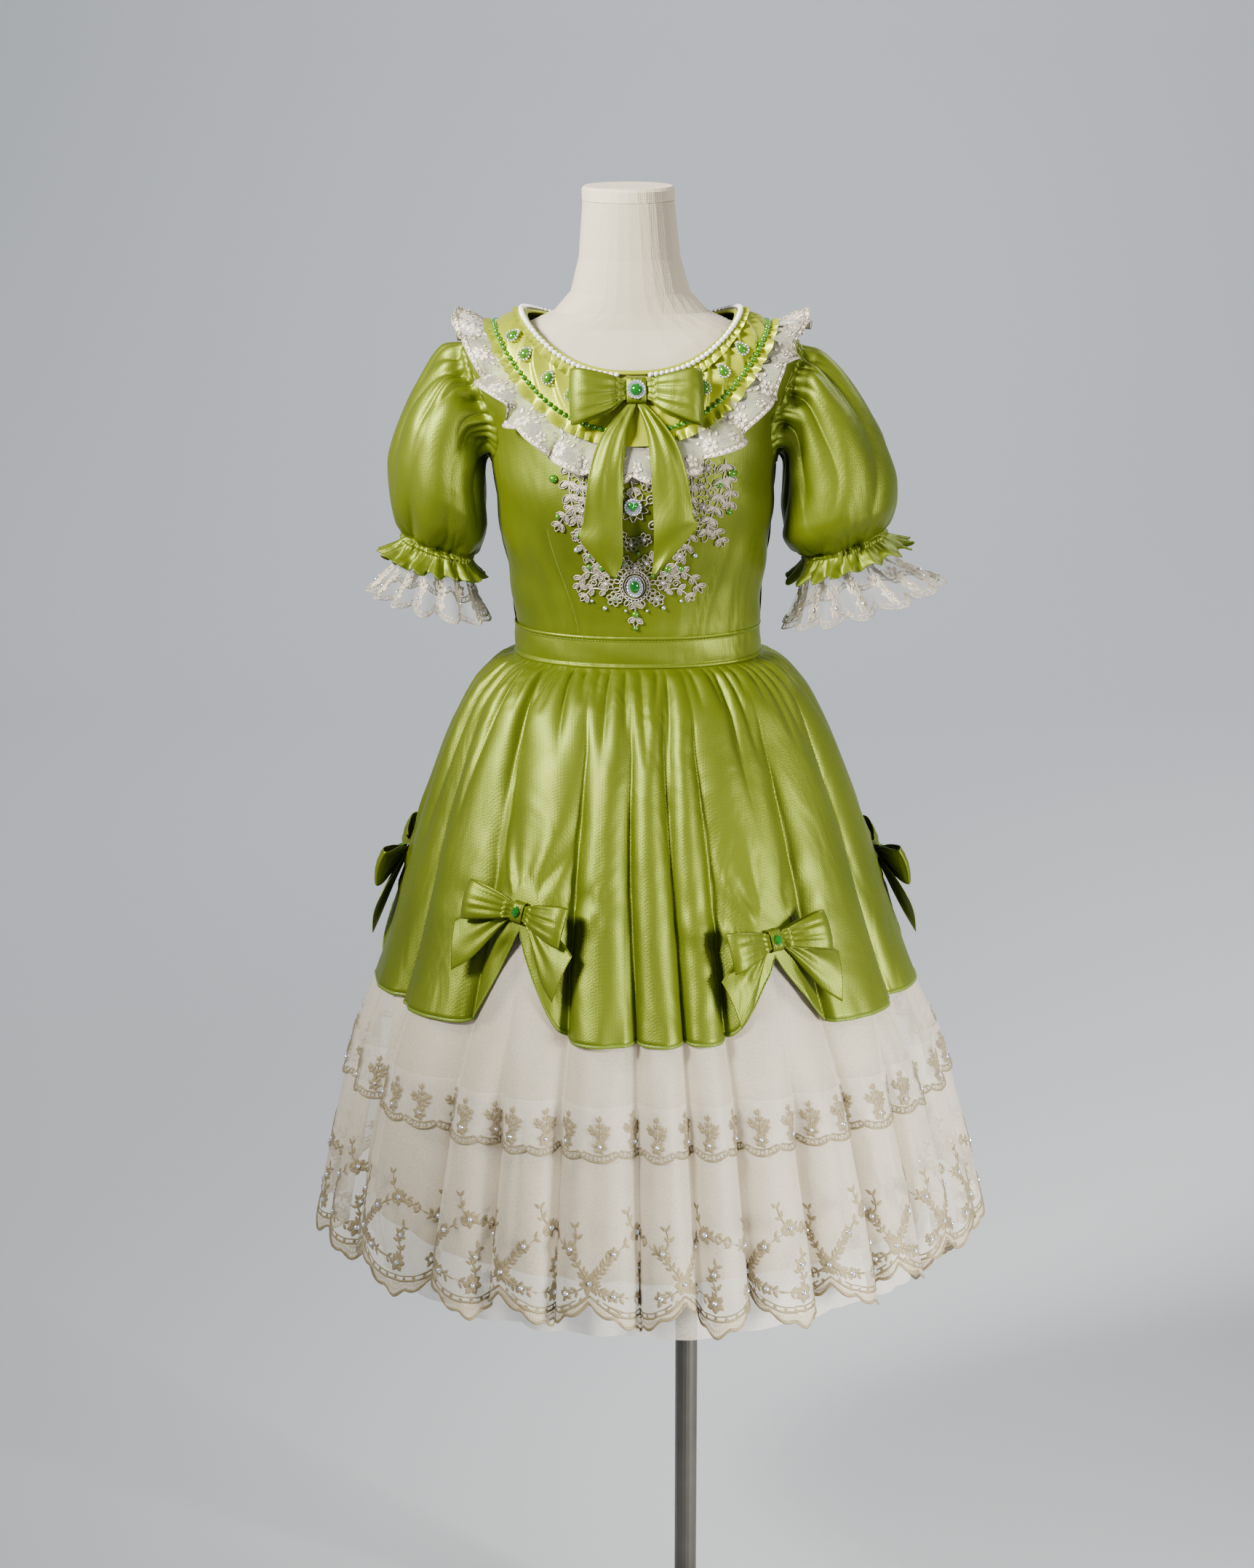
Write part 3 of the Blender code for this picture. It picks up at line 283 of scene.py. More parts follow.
class DressSettings(bpy.types.PropertyGroup):
    """Sizes that the dress's operators read."""

    skirt_columns: bpy.props.IntProperty(name="Skirt columns", description="Columns round the green skirt", default=660)
    gather_depth: bpy.props.FloatProperty(
        name="Gather depth", description="Depth of the waist gathers", default=0.0042, unit="LENGTH"
    )
    lace_columns: bpy.props.IntProperty(name="Lace columns", description="Columns round the lace skirt", default=960)


# Curves, sections and places


def along(table, column, up):
    """The value of a table's column at a height, on a smooth curve through every row."""
    rows = sorted(table)
    x = np.array([row[0] for row in rows], float)
    y = np.array([getattr(row, column) for row in rows], float)
    rise = np.diff(y) / np.diff(x)
    slope = np.concatenate([rise[:1], np.zeros(len(x) - 2), rise[-1:]])
    same_way = rise[:-1] * rise[1:] > 0
    low, high = rise[:-1][same_way], rise[1:][same_way]
    slope[1:-1][same_way] = 2 * low * high / (low + high)
    up = np.clip(up, x[0], x[-1])
    i = np.clip(np.searchsorted(x, up, side="right") - 1, 0, len(x) - 2)
    step = x[i + 1] - x[i]
    t = (up - x[i]) / step
    return (
        (1 + 2 * t) * (1 - t) ** 2 * y[i]
        + t * (1 - t) ** 2 * step * slope[i]
        + t * t * (3 - 2 * t) * y[i + 1]
        + t * t * (t - 1) * step * slope[i + 1]
    )


def section_point(table, turn, up, square=SQUARE):
    """A point on a table's rounded outline. Turn 0 is the front, +90 degrees a viewer's right."""
    power = 2 / square
    across, ahead = np.sin(turn), np.cos(turn)
    depth = np.where(ahead > 0, along(table, "front", up), along(table, "back", up))
    x = along(table, "half_width", up) * np.sign(across) * np.abs(across) ** power
    y = -depth * np.sign(ahead) * np.abs(ahead) ** power
    return np.stack(np.broadcast_arrays(x, y, up), axis=-1).astype(float)


def body(turn, up, out=0.0):
    """A point at a distance out from the form's skin."""
    step = 1e-3
    turn, up = np.broadcast_arrays(np.asarray(turn, float), np.asarray(up, float))
    across = section_point(BODY, turn + step, up) - section_point(BODY, turn - step, up)
    rise = section_point(BODY, turn, up + step) - section_point(BODY, turn, up - step)
    normal = np.cross(across, rise)
    normal /= np.linalg.norm(normal, axis=-1, keepdims=True)
    return section_point(BODY, turn, up) + normal * np.asarray(out, float)[..., None]


def ridge_up(half_width):
    """The height at which the form's shoulder is this far from its axis."""
    ups = np.linspace(0.325, 0.378, 400)
    widths = along(BODY, "half_width", ups)
    return np.interp(-np.asarray(half_width), -widths, ups)


def front_turn(x, up):
    """The turn at which the form's front is this far from its middle line."""
    share = np.clip(np.abs(x) / along(BODY, "half_width", up), 0, 1)
    return np.arcsin(share ** (SQUARE / 2)) * np.sign(x)


def front_point(x, up, out):
    x, up = np.broadcast_arrays(np.asarray(x, float), np.asarray(up, float))
    return body(front_turn(x, up), up, out)


def place(points):
    """Garment points as world points."""
    points = np.asarray(points, float)
    up = points[..., 2]
    return np.stack([points[..., 0] + AXIS_X - LEAN * up, points[..., 1], up + WAIST_Z], axis=-1)


def smooth_step(low, high, value):
    t = np.clip((np.asarray(value, float) - low) / (high - low), 0, 1)
    return t * t * (3 - 2 * t)


def spline(points, count, closed=False):
    """A smooth curve through points, as count points evenly spaced between them."""
    points = np.asarray(points, float)
    size = len(points)
    at = np.arange(count) * size / count if closed else np.linspace(0, size - 1, count)
    i = np.minimum(np.floor(at).astype(int), size - 1 if closed else size - 2)
    t = (at - i).reshape((-1,) + (1,) * (points.ndim - 1))

    def pick(j):
        return points[j % size] if closed else points[np.clip(j, 0, size - 1)]

    a, b, c, d = pick(i - 1), pick(i), pick(i + 1), pick(i + 2)
    return 0.5 * (2 * b + (c - a) * t + (2 * a - 5 * b + 4 * c - d) * t**2 + (3 * b - a - 3 * c + d) * t**3)


def ripple(turn, count, seed):
    """An uneven wave of about count crests round a circle, from 0 in its valleys to 1 on its crests."""
    dice = np.random.default_rng(seed)
    turn = np.asarray(turn, float)
    phase = count * turn
    size = np.ones_like(turn)
    for k in range(1, 7):
        phase = phase + 0.9 * dice.uniform(0.4, 1.0) * np.sin(k * turn + dice.uniform(0, 6.3)) * 1.6
        size = size + 0.14 * np.sin((k + 3) * turn + dice.uniform(0, 6.3))
    return np.abs(np.sin(phase / 2)) ** 0.8 * np.clip(size, 0.3, 1.6)


def fold_share(turn, valleys):
    """Where each turn is in its fold, 0 and 1 being the valleys at its sides, and the fold's width in degrees."""
    edges = np.array(list(valleys) + [valleys[0] + 360], float)
    turn = (np.asarray(turn, float) - edges[0]) % 360 + edges[0]
    i = np.clip(np.searchsorted(edges, turn, side="right") - 1, 0, len(edges) - 2)
    width = edges[i + 1] - edges[i]
    return (turn - edges[i]) / width, width


def lobes(turn, valleys, power=0.7):
    """1 on the crest of each fold and 0 in the valleys between them, for turns in degrees."""
    return np.abs(np.sin(np.pi * fold_share(turn, valleys)[0])) ** power


def finer(valleys, least, seed):
    """A list of valleys with one or two more between each two that are over twice the least width apart."""
    dice = np.random.default_rng(seed)
    made = []
    for low, high in zip(valleys, list(valleys[1:]) + [valleys[0] + 360]):
        parts = int(np.clip(round((high - low) / least), 1, 4))
        cuts = (np.arange(1, parts) + dice.uniform(-0.22, 0.22, parts - 1)) / parts
        made += [low] + list(low + (high - low) * cuts)
    return made


def drift(turn, seed, count=5):
    """A smooth uneven value from about -1 to 1 round a circle, for turns in degrees."""
    dice = np.random.default_rng(seed)
    angle = np.radians(turn)
    total = np.zeros_like(angle)
    for k in range(1, count + 1):
        total = total + dice.uniform(0.5, 1.0) * np.sin((2 * k + 1) * angle + dice.uniform(0, 6.3))
    return total / math.sqrt(count)


def moved_in(points, angle, inward):
    """Points round the axis, moved in towards it."""
    points[..., 0] -= inward * np.sin(angle)
    points[..., 1] += inward * np.cos(angle)
    return points


def edge_shares(outline):
    """The length once round a closed edge, and the share of it before each of its points."""
    steps = np.linalg.norm(np.roll(outline, -1, axis=0) - outline, axis=1)
    return steps.sum(), np.concatenate([[0], np.cumsum(steps)])[:-1] / steps.sum()


def scallop_rise(share, repeats):
    """How far a lace edge is drawn back, from 0 at the middle of each scallop to 1 at its ends."""
    return 1 - np.sin(np.pi * (share * repeats % 1)) ** 0.7


def skirt_point(turn, up, inward):
    """A point on the skirt's crest line, moved in towards the axis. The turn is in degrees."""
    angle = np.radians(turn)
    square = np.interp(-np.asarray(up, float), [0.0, 0.07], [SQUARE, 2.0])
    return moved_in(section_point(SKIRT, angle, up, square), angle, inward)


def away_from(turn, other):
    """Degrees from one turn to another, the short way and signed."""
    return (np.asarray(turn, float) - other + 180) % 360 - 180


def swag_lift(turn):
    """How far each bow lifts the green hem at a turn."""
    lift = np.zeros_like(turn)
    for bow in SKIRT_BOWS:
        near = np.clip(1 - np.abs(away_from(turn, bow.turn)) / SWAG_HALF_TURN, 0, 1)
        lift += bow.lift * near**SWAG_POWER
    return lift


def skirt_behind(turns, ups):
    """How far inside the green skirt's crest line the cloth below it is."""
    angle = np.radians(turns)
    crest = skirt_point(turns, ups, 0.0)
    under = section_point(LINING, angle, ups, np.interp(-ups, [0, 0.07], [SQUARE, 2.0]))
    low = lace_point(turns, SKIRT_HEM_UP)
    top = section_point(LINING, angle, LACE_TOP_UP, 2.0)
    share = np.clip((LACE_TOP_UP - ups) / (LACE_TOP_UP - SKIRT_HEM_UP), 0, 1)[:, None]
    lace = top + (low - top) * share
    outward = np.stack([np.sin(angle), -np.cos(angle), np.zeros(len(turns))], -1)
    to_lining = ((crest - under) * outward).sum(-1)
    to_lace = ((crest - lace) * outward).sum(-1)
    return np.where(share[:, 0] > 0, np.minimum(to_lining, to_lace), to_lining)


def ring_turn_up(ring, around):
    """The form's turn and height at a place around the neck, 0 at the front and 180 degrees at the back."""
    across, ahead = np.sin(around), np.cos(around)
    centre = np.where(ahead > 0, ring.front_up, ring.back_up)
    up = centre + (ridge_up(ring.half_width) - centre) * np.abs(across) ** 2.5
    share = np.clip(ring.half_width * np.abs(across) / along(BODY, "half_width", up), 0, 1)
    turn = np.arcsin(share ** (SQUARE / 2))
    turn = np.where(ahead > 0, turn, np.pi - turn) * np.sign(across + 1e-12)
    return turn, up


def yoke_point(around, share, out):
    """A point over the yoke, from 0 at the neckline to 1 at its outer edge."""
    ring = Ring(*(a + (b - a) * share for a, b in zip(NECKLINE, YOKE_EDGE)))
    turn, up = ring_turn_up(ring, around)
    return body(turn, up, out)


def armhole(around):
    """The form's turn and height around the right armhole: 0 at the top, then the front, then below."""
    up = UNDERARM_UP + (SHOULDER_TIP_UP - UNDERARM_UP) * (1 + np.cos(around)) / 2
    turn = np.pi / 2 - ARMHOLE_TURN * np.sign(np.sin(around)) * np.abs(np.sin(around)) ** 0.8
    return turn, up


def ribbon_frame(seat, turn, slope, roll=0.0):
    """Where a bow's knot touches, and its directions across, up and out."""
    across = np.array([math.cos(turn), math.sin(turn), 0.0])
    radial = np.array([math.sin(turn), -math.cos(turn), 0.0])
    rise = np.array([0.0, 0.0, 1.0])
    up = math.cos(slope) * rise - math.sin(slope) * radial
    out = math.cos(slope) * radial + math.sin(slope) * rise
    turned = math.cos(roll) * across + math.sin(roll) * up
    return seat, turned, np.cross(out, turned), out


def in_frame(place_frame, places):
    seat, across, up, out = place_frame
    places = np.asarray(places, float)
    return seat + places[..., :1] * across + places[..., 1:2] * up + places[..., 2:] * out


# Materials


def new_node(tree, kind, inputs=None, **settings):
    made = tree.nodes.new(kind)
    for name, value in settings.items():
        setattr(made, name, value)
    for name, value in (inputs or {}).items():
        if isinstance(value, bpy.types.NodeSocket):
            tree.links.new(value, made.inputs[name])
        else:
            made.inputs[name].default_value = value
    return made


def group(name, inputs, outputs):
    """An empty node group with float, colour or vector sockets."""
    tree = bpy.data.node_groups.new(name, "ShaderNodeTree")
    for label, kind in inputs:
        tree.interface.new_socket(label, in_out="INPUT", socket_type=kind)
    for label, kind in outputs:
        tree.interface.new_socket(label, in_out="OUTPUT", socket_type=kind)
    return tree, tree.nodes.new("NodeGroupInput"), tree.nodes.new("NodeGroupOutput")


def weave_group():
    """Crossed threads, as a height, on coordinates in metres."""
    known = bpy.data.node_groups.get("crossed_threads")
    if known:
        return known
    tree, start, end = group(
        "crossed_threads",
        [("Vector", "NodeSocketVector"), ("Threads per Metre", "NodeSocketFloat")],
        [("Height", "NodeSocketFloat")],
    )
    waves = []
    for direction in ("X", "Y", "Z"):
        waves.append(new_node(
            tree, "ShaderNodeTexWave", {"Vector": start.outputs[0], "Scale": start.outputs[1], "Distortion": 0.6},
            bands_direction=direction,
        ).outputs["Fac"])
    two = new_node(tree, "ShaderNodeMath", {0: waves[0], 1: waves[1]}, operation="ADD")
    three = new_node(tree, "ShaderNodeMath", {0: two.outputs[0], 1: waves[2]}, operation="ADD")
    tree.links.new(three.outputs[0], end.inputs[0])
    return tree


def tone_group():
    """A colour that drifts softly between two over a surface."""
    known = bpy.data.node_groups.get("cloth_tone")
    if known:
        return known
    tree, start, end = group(
        "cloth_tone",
        [("Vector", "NodeSocketVector"), ("Scale", "NodeSocketFloat"), ("Light", "NodeSocketColor"),
         ("Dark", "NodeSocketColor")],
        [("Color", "NodeSocketColor")],
    )
    noise = new_node(tree, "ShaderNodeTexNoise", {"Vector": start.outputs[0], "Scale": start.outputs[1], "Detail": 4.0})
    tones = {0: noise.outputs["Fac"], 6: start.outputs["Light"], 7: start.outputs["Dark"]}
    mix = new_node(tree, "ShaderNodeMix", tones, data_type="RGBA")
    tree.links.new(mix.outputs[2], end.inputs[0])
    return tree


Finish = namedtuple(
    "Finish", "light dark tone_scale roughness metallic sheen coat threads bump crumple",
    defaults=(0.0, 0.0, 0, 0.0, 0.0),
)
FINISHES = {
    "green_satin": Finish(
        (0.148, 0.188, 0.008), (0.064, 0.086, 0.0035), 6.0, 0.45, 0.56, threads=1400, bump=0.00004, crumple=0.0064
    ),
    "yoke_satin": Finish(
        (0.400, 0.450, 0.018), (0.240, 0.280, 0.008), 12.0, 0.40, 0.45, threads=1400, bump=0.00004, crumple=0.0016
    ),
    "green_edge": Finish(
        (0.130, 0.185, 0.008), (0.080, 0.120, 0.005), 60.0, 0.45, 0.20, sheen=0.10, threads=900, bump=0.00010
    ),
    "cream_lining": Finish(
        (0.430, 0.358, 0.245), (0.345, 0.283, 0.190), 5.0, 0.55, 0.0,
        sheen=0.15, threads=1500, bump=0.00005, crumple=0.0012
    ),
    "gold_thread": Finish(
        (0.310, 0.256, 0.148), (0.150, 0.118, 0.058), 90.0, 0.46, 0.30, sheen=0.10, threads=2200, bump=0.00008
    ),
    "white_thread": Finish(
        (0.820, 0.770, 0.640), (0.520, 0.455, 0.330), 110.0, 0.50, 0.10, sheen=0.15, threads=2200, bump=0.00008
    ),
    "silver_thread": Finish(
        (0.480, 0.438, 0.340), (0.205, 0.174, 0.122), 120.0, 0.42, 0.35, sheen=0.10, threads=2200, bump=0.00008
    ),
    "form_linen": Finish(
        (0.480, 0.422, 0.310), (0.400, 0.348, 0.250), 10.0, 0.80, 0.0, sheen=0.10, threads=1100, bump=0.00008
    ),
    "cap_linen": Finish(
        (0.560, 0.490, 0.360), (0.470, 0.400, 0.280), 20.0, 0.75, 0.0, sheen=0.10, threads=900, bump=0.00010
    ),
    "pearl": Finish((0.880, 0.865, 0.810), (0.800, 0.770, 0.710), 200.0, 0.18, 0.10, coat=0.8),
    "crystal": Finish((0.860, 0.880, 0.920), (0.520, 0.560, 0.660), 500.0, 0.06, 0.80, coat=1.0),
    "emerald": Finish((0.006, 0.215, 0.012), (0.002, 0.080, 0.004), 300.0, 0.06, 0.45, coat=1.0),
    "leaf_stone": Finish((0.085, 0.300, 0.009), (0.026, 0.130, 0.004), 300.0, 0.07, 0.50, coat=1.0),
    "steel": Finish((0.150, 0.143, 0.128), (0.090, 0.086, 0.076), 30.0, 0.34, 0.90),
}


def toned_material(name, look, tone_scale):
    """A new material with its node tree, shader, object coordinates and the colour of a look's two tones."""
    made = bpy.data.materials.new(name)
    made.use_nodes = True
    tree = made.node_tree
    where = new_node(tree, "ShaderNodeTexCoord").outputs["Object"]
    tone = new_node(tree, "ShaderNodeGroup", {
        "Vector": where, "Scale": tone_scale, "Light": (*look.light, 1.0), "Dark": (*look.dark, 1.0),
    }, node_tree=tone_group())
    return made, tree, tree.nodes["Principled BSDF"], where, tone.outputs[0]


def finish_of(name):
    """One of the opaque materials, built once."""
    known = bpy.data.materials.get(f"{name}_finish")
    if known:
        return known
    look = FINISHES[name]
    made, tree, shader, where, tone = toned_material(f"{name}_finish", look, look.tone_scale)
    tree.links.new(tone, shader.inputs["Base Color"])
    shader.inputs["Metallic"].default_value = look.metallic
    shader.inputs["Sheen Weight"].default_value = look.sheen
    shader.inputs["Coat Weight"].default_value = look.coat
    shader.inputs["Specular IOR Level"].default_value = 0.30 if look.threads else 0.50
    noise = new_node(tree, "ShaderNodeTexNoise", {"Vector": where, "Scale": look.tone_scale * 3, "Detail": 3.0})
    spread = new_node(tree, "ShaderNodeMapRange", {
        "Value": noise.outputs["Fac"], "To Min": look.roughness * 0.85, "To Max": look.roughness * 1.15,
    })
    tree.links.new(spread.outputs[0], shader.inputs["Roughness"])
    normal = None
    if look.crumple:
        fallen = new_node(tree, "ShaderNodeMapping", {"Vector": where, "Scale": (1.0, 1.0, 0.45)})
        folds = new_node(
            tree, "ShaderNodeTexNoise", {"Vector": fallen.outputs[0], "Scale": 11.0, "Detail": 3.0, "Distortion": 0.7}
        )
        bump = new_node(tree, "ShaderNodeBump", {"Height": folds.outputs["Fac"], "Distance": look.crumple})
        normal = bump.outputs[0]
    if look.threads:
        weave = new_node(tree, "ShaderNodeGroup", {
            "Vector": where, "Threads per Metre": look.threads / 6.283,
        }, node_tree=weave_group())
        fine = new_node(tree, "ShaderNodeBump", {"Height": weave.outputs[0], "Distance": look.bump})
        if normal:
            tree.links.new(normal, fine.inputs["Normal"])
        normal = fine.outputs[0]
    if normal:
        tree.links.new(normal, shader.inputs["Normal"])
    return made


Sheer = namedtuple("Sheer", "light dark stitch thin thick net_gap")
SHEER_TONE_SCALE = 12.0
SHEERS = {
    "organza": Sheer((0.64, 0.580, 0.465), (0.54, 0.485, 0.380), (0.40, 0.33, 0.21), 0.42, 0.52, 95.0),
    "lace_net": Sheer((0.80, 0.76, 0.66), (0.66, 0.61, 0.50), (0.76, 0.70, 0.56), 0.16, 0.28, 120.0),
    "cuff_net": Sheer((0.34, 0.32, 0.25), (0.27, 0.25, 0.19), (0.40, 0.35, 0.25), 0.15, 0.27, 120.0),
    "tulle": Sheer((0.62, 0.58, 0.50), (0.54, 0.50, 0.42), (0.60, 0.56, 0.50), 0.50, 0.62, 120.0),
}


def sheer_of(name):
    """A see-through cloth. Where the mesh's filled attribute is 1, it is a dense stitched net."""
    known = bpy.data.materials.get(f"{name}_sheer")
    if known:
        return known
    look = SHEERS[name]
    made, tree, shader, where, tone = toned_material(f"{name}_sheer", look, SHEER_TONE_SCALE)
    filled = new_node(tree, "ShaderNodeAttribute", attribute_name="filled").outputs["Fac"]
    flat = new_node(tree, "ShaderNodeUVMap", uv_map="cloth").outputs[0]
    threads = []
    for direction in ("X", "Y"):
        wave = new_node(
            tree, "ShaderNodeTexWave", {"Vector": flat, "Scale": look.net_gap, "Distortion": 0.8, "Detail": 1.0},
            bands_direction=direction,
        )
        threads.append(wave.outputs["Fac"])
    net = new_node(tree, "ShaderNodeMath", {0: threads[0], 1: threads[1]}, operation="MAXIMUM")
    stitched = new_node(tree, "ShaderNodeMix", {0: filled, 6: tone, 7: (*look.stitch, 1.0)}, data_type="RGBA")
    tree.links.new(stitched.outputs[2], shader.inputs["Base Color"])
    grain = new_node(tree, "ShaderNodeTexNoise", {"Vector": where, "Scale": 420.0, "Detail": 2.0})
    density = new_node(tree, "ShaderNodeMapRange", {
        "Value": grain.outputs["Fac"], "From Min": 0.3, "From Max": 0.7, "To Min": look.thin, "To Max": look.thick,
    })
    netted = new_node(tree, "ShaderNodeMapRange", {
        "Value": net.outputs[0], "From Min": 0.55, "From Max": 0.95, "To Min": 0.55, "To Max": 0.98,
    })
    alpha = new_node(tree, "ShaderNodeMix", {0: filled, 2: density.outputs[0], 3: netted.outputs[0]})
    tree.links.new(alpha.outputs[0], shader.inputs["Alpha"])
    bump = new_node(tree, "ShaderNodeBump", {"Height": net.outputs[0], "Distance": 0.00025, "Strength": filled})
    tree.links.new(bump.outputs[0], shader.inputs["Normal"])
    shader.inputs["Roughness"].default_value = 0.55
    shader.inputs["Sheen Weight"].default_value = 0.25
    return made


class Beads:
    """Small domes set on a surface, gathered into one mesh. A taper makes them drops that point up."""

    def __init__(self, sides=8, taper=0.0):
        around = np.arange(sides) * 2 * np.pi / sides
        rings = []
        for size, rise in ((1.0, 0.0), (0.93, 0.45), (0.62, 0.85)):
            across = size * np.cos(around) * (1 - taper * np.sin(around))
            rings.append(np.stack([across, size * np.sin(around), np.full(sides, rise)], -1))
        self.dome = np.vstack(rings + [[[0.0, 0.0, 1.0]]])
        i = np.arange(sides)
        j = (i + 1) % sides
        faces = []
        for low in (0, sides):
            high = low + sides
            faces += [np.stack([i + low, j + low, j + high], -1), np.stack([i + low, j + high, i + high], -1)]
        faces.append(np.stack([i + 2 * sides, j + 2 * sides, np.full(sides, 3 * sides)], -1))
        self.faces = np.concatenate(faces)
        self.places = []

    def add(self, centre, out, radius, height, stretch=1.0, tall=(0.0, 0.0, 1.0)):
        out = np.asarray(out, float) / np.linalg.norm(out)
        across = np.cross(tall, out)
        across /= np.linalg.norm(across)
        rise = np.cross(out, across)
        x, y, z = self.dome.T[:, :, None]
        self.places.append(np.asarray(centre) + across * x * radius + rise * y * radius * stretch + out * z * height)

    def build(self, name, material, nodes=(), slot=None):
        points = place(np.vstack(self.places))
        size = len(self.dome)
        faces = np.concatenate([self.faces + k * size for k in range(len(self.places))])
        return add_piece(name, mesh_of(name, points, faces), material, nodes)


def on_yoke(around, share, out):
    """A place on the yoke: the point, the way out, and the way up towards the neck."""
    around = np.array(around)
    point = yoke_point(around, share, out)
    outward = yoke_point(around, share, out + 0.001) - point
    return point, outward, yoke_point(around, share - 0.05, out) - point


def ring_spots(share, out, pitch):
    """Evenly spaced places round the neck, in radians."""
    ring = np.linspace(-np.pi, np.pi, 721)
    line = yoke_point(ring, share, out)
    lengths = np.concatenate([[0], np.cumsum(np.linalg.norm(np.diff(line, axis=0), axis=1))])
    return np.interp(np.arange(pitch / 2, lengths[-1], pitch), lengths, ring)


# Meshes


def add_piece(name, mesh, material, nodes=()):
    """Links a piece that is made in place, smooth, and rides on the only body."""
    mesh.materials.append(material)
    mesh.shade_smooth()
    mesh.update()
    made = bpy.data.objects.new(name, mesh)
    bpy.context.scene.collection.objects.link(made)
    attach(made, "root")
    if nodes:
        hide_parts(*nodes)
    return made


def mesh_of(name, points, faces, uvs=None, attributes=None):
    """A mesh from numpy arrays of world points and quads or triangles."""
    mesh = bpy.data.meshes.new(name)
    faces = np.asarray(faces, np.int32)
    mesh.vertices.add(len(points))
    mesh.vertices.foreach_set("co", np.asarray(points, np.float32).ravel())
    mesh.loops.add(faces.size)
    mesh.loops.foreach_set("vertex_index", faces.ravel())
    mesh.polygons.add(len(faces))
    mesh.polygons.foreach_set("loop_start", np.arange(0, faces.size, faces.shape[1], dtype=np.int32))
    if uvs is not None:
        layer = mesh.uv_layers.new(name="cloth")
        layer.data.foreach_set("uv", np.asarray(uvs, np.float32).ravel())
    for label, values in (attributes or {}).items():
        layer = mesh.attributes.new(label, "FLOAT", "POINT")
        layer.data.foreach_set("value", np.asarray(values, np.float32).ravel())
    mesh.update(calc_edges=True)
    mesh.validate()
    return mesh


class Cloth:
    """A sheet of garment points, top row first and left to right, on which trims are laid by distance."""

    def __init__(self, points, closed):
        self.points = np.asarray(points, float)
        self.closed = closed
        if closed:
            across = np.roll(self.points, -1, axis=1) - np.roll(self.points, 1, axis=1)
        else:
            across = np.gradient(self.points, axis=1)
        normal = np.cross(np.gradient(self.points, axis=0), across)
        self.normals = normal / np.maximum(np.linalg.norm(normal, axis=-1, keepdims=True), 1e-12)

    def row_lengths(self, row):
        """Distance along a row at each column, and once round for a closed one."""
        line = self.points[row]
        if self.closed:
            line = np.vstack([line, line[:1]])
        return np.concatenate([[0], np.cumsum(np.linalg.norm(np.diff(line, axis=0), axis=1))])

    def sample(self, columns, rows, out):
        """Points out from the sheet at fractional columns and rows."""
        count_rows, count_columns = self.points.shape[:2]
        rows = np.clip(rows, 0, count_rows - 1.0001)
        if not self.closed:
            columns = np.clip(columns, 0, count_columns - 1.0001)
        r, c = np.floor(rows).astype(int), np.floor(columns).astype(int)
        u, v = (columns - c)[:, None], (rows - r)[:, None]
        d = (c + 1) % count_columns if self.closed else c + 1
        c = c % count_columns

        def blend(grid):
            top = grid[r, c] * (1 - u) + grid[r, d] * u
            low = grid[r + 1, c] * (1 - u) + grid[r + 1, d] * u
            return top * (1 - v) + low * v

        return blend(self.points) + blend(self.normals) * np.asarray(out)[:, None]

    def build(self, name, material, thickness=0.0, filled=None, nodes=(), slot=None):
        rows, columns = self.points.shape[:2]
        points = place(self.points).reshape(-1, 3)
        spans = columns if self.closed else columns - 1
        r, c = np.meshgrid(np.arange(rows - 1), np.arange(spans), indexing="ij")
        d = (c + 1) % columns
        faces = np.stack([r * columns + c, (r + 1) * columns + c, (r + 1) * columns + d, r * columns + d], axis=-1)
        wide = self.row_lengths(rows - 1)
        tall = np.concatenate([[0], np.cumsum(np.linalg.norm(np.diff(self.points[:, 0], axis=0), axis=1))])
        low_u, high_u = wide[c], wide[c + 1]
        uvs = np.stack([
            np.stack([low_u, -tall[r]], -1), np.stack([low_u, -tall[r + 1]], -1),
            np.stack([high_u, -tall[r + 1]], -1), np.stack([high_u, -tall[r]], -1),
        ], axis=-2)
        attributes = {"filled": np.zeros(rows * columns) if filled is None else filled}
        mesh = mesh_of(name, points, faces.reshape(-1, 4), uvs.reshape(-1, 2), attributes)
        made = add_piece(name, mesh, material, nodes)
        if thickness:
            wall = made.modifiers.new("wall", "SOLIDIFY")
            wall.thickness = thickness
            wall.offset = -1.0
        return made


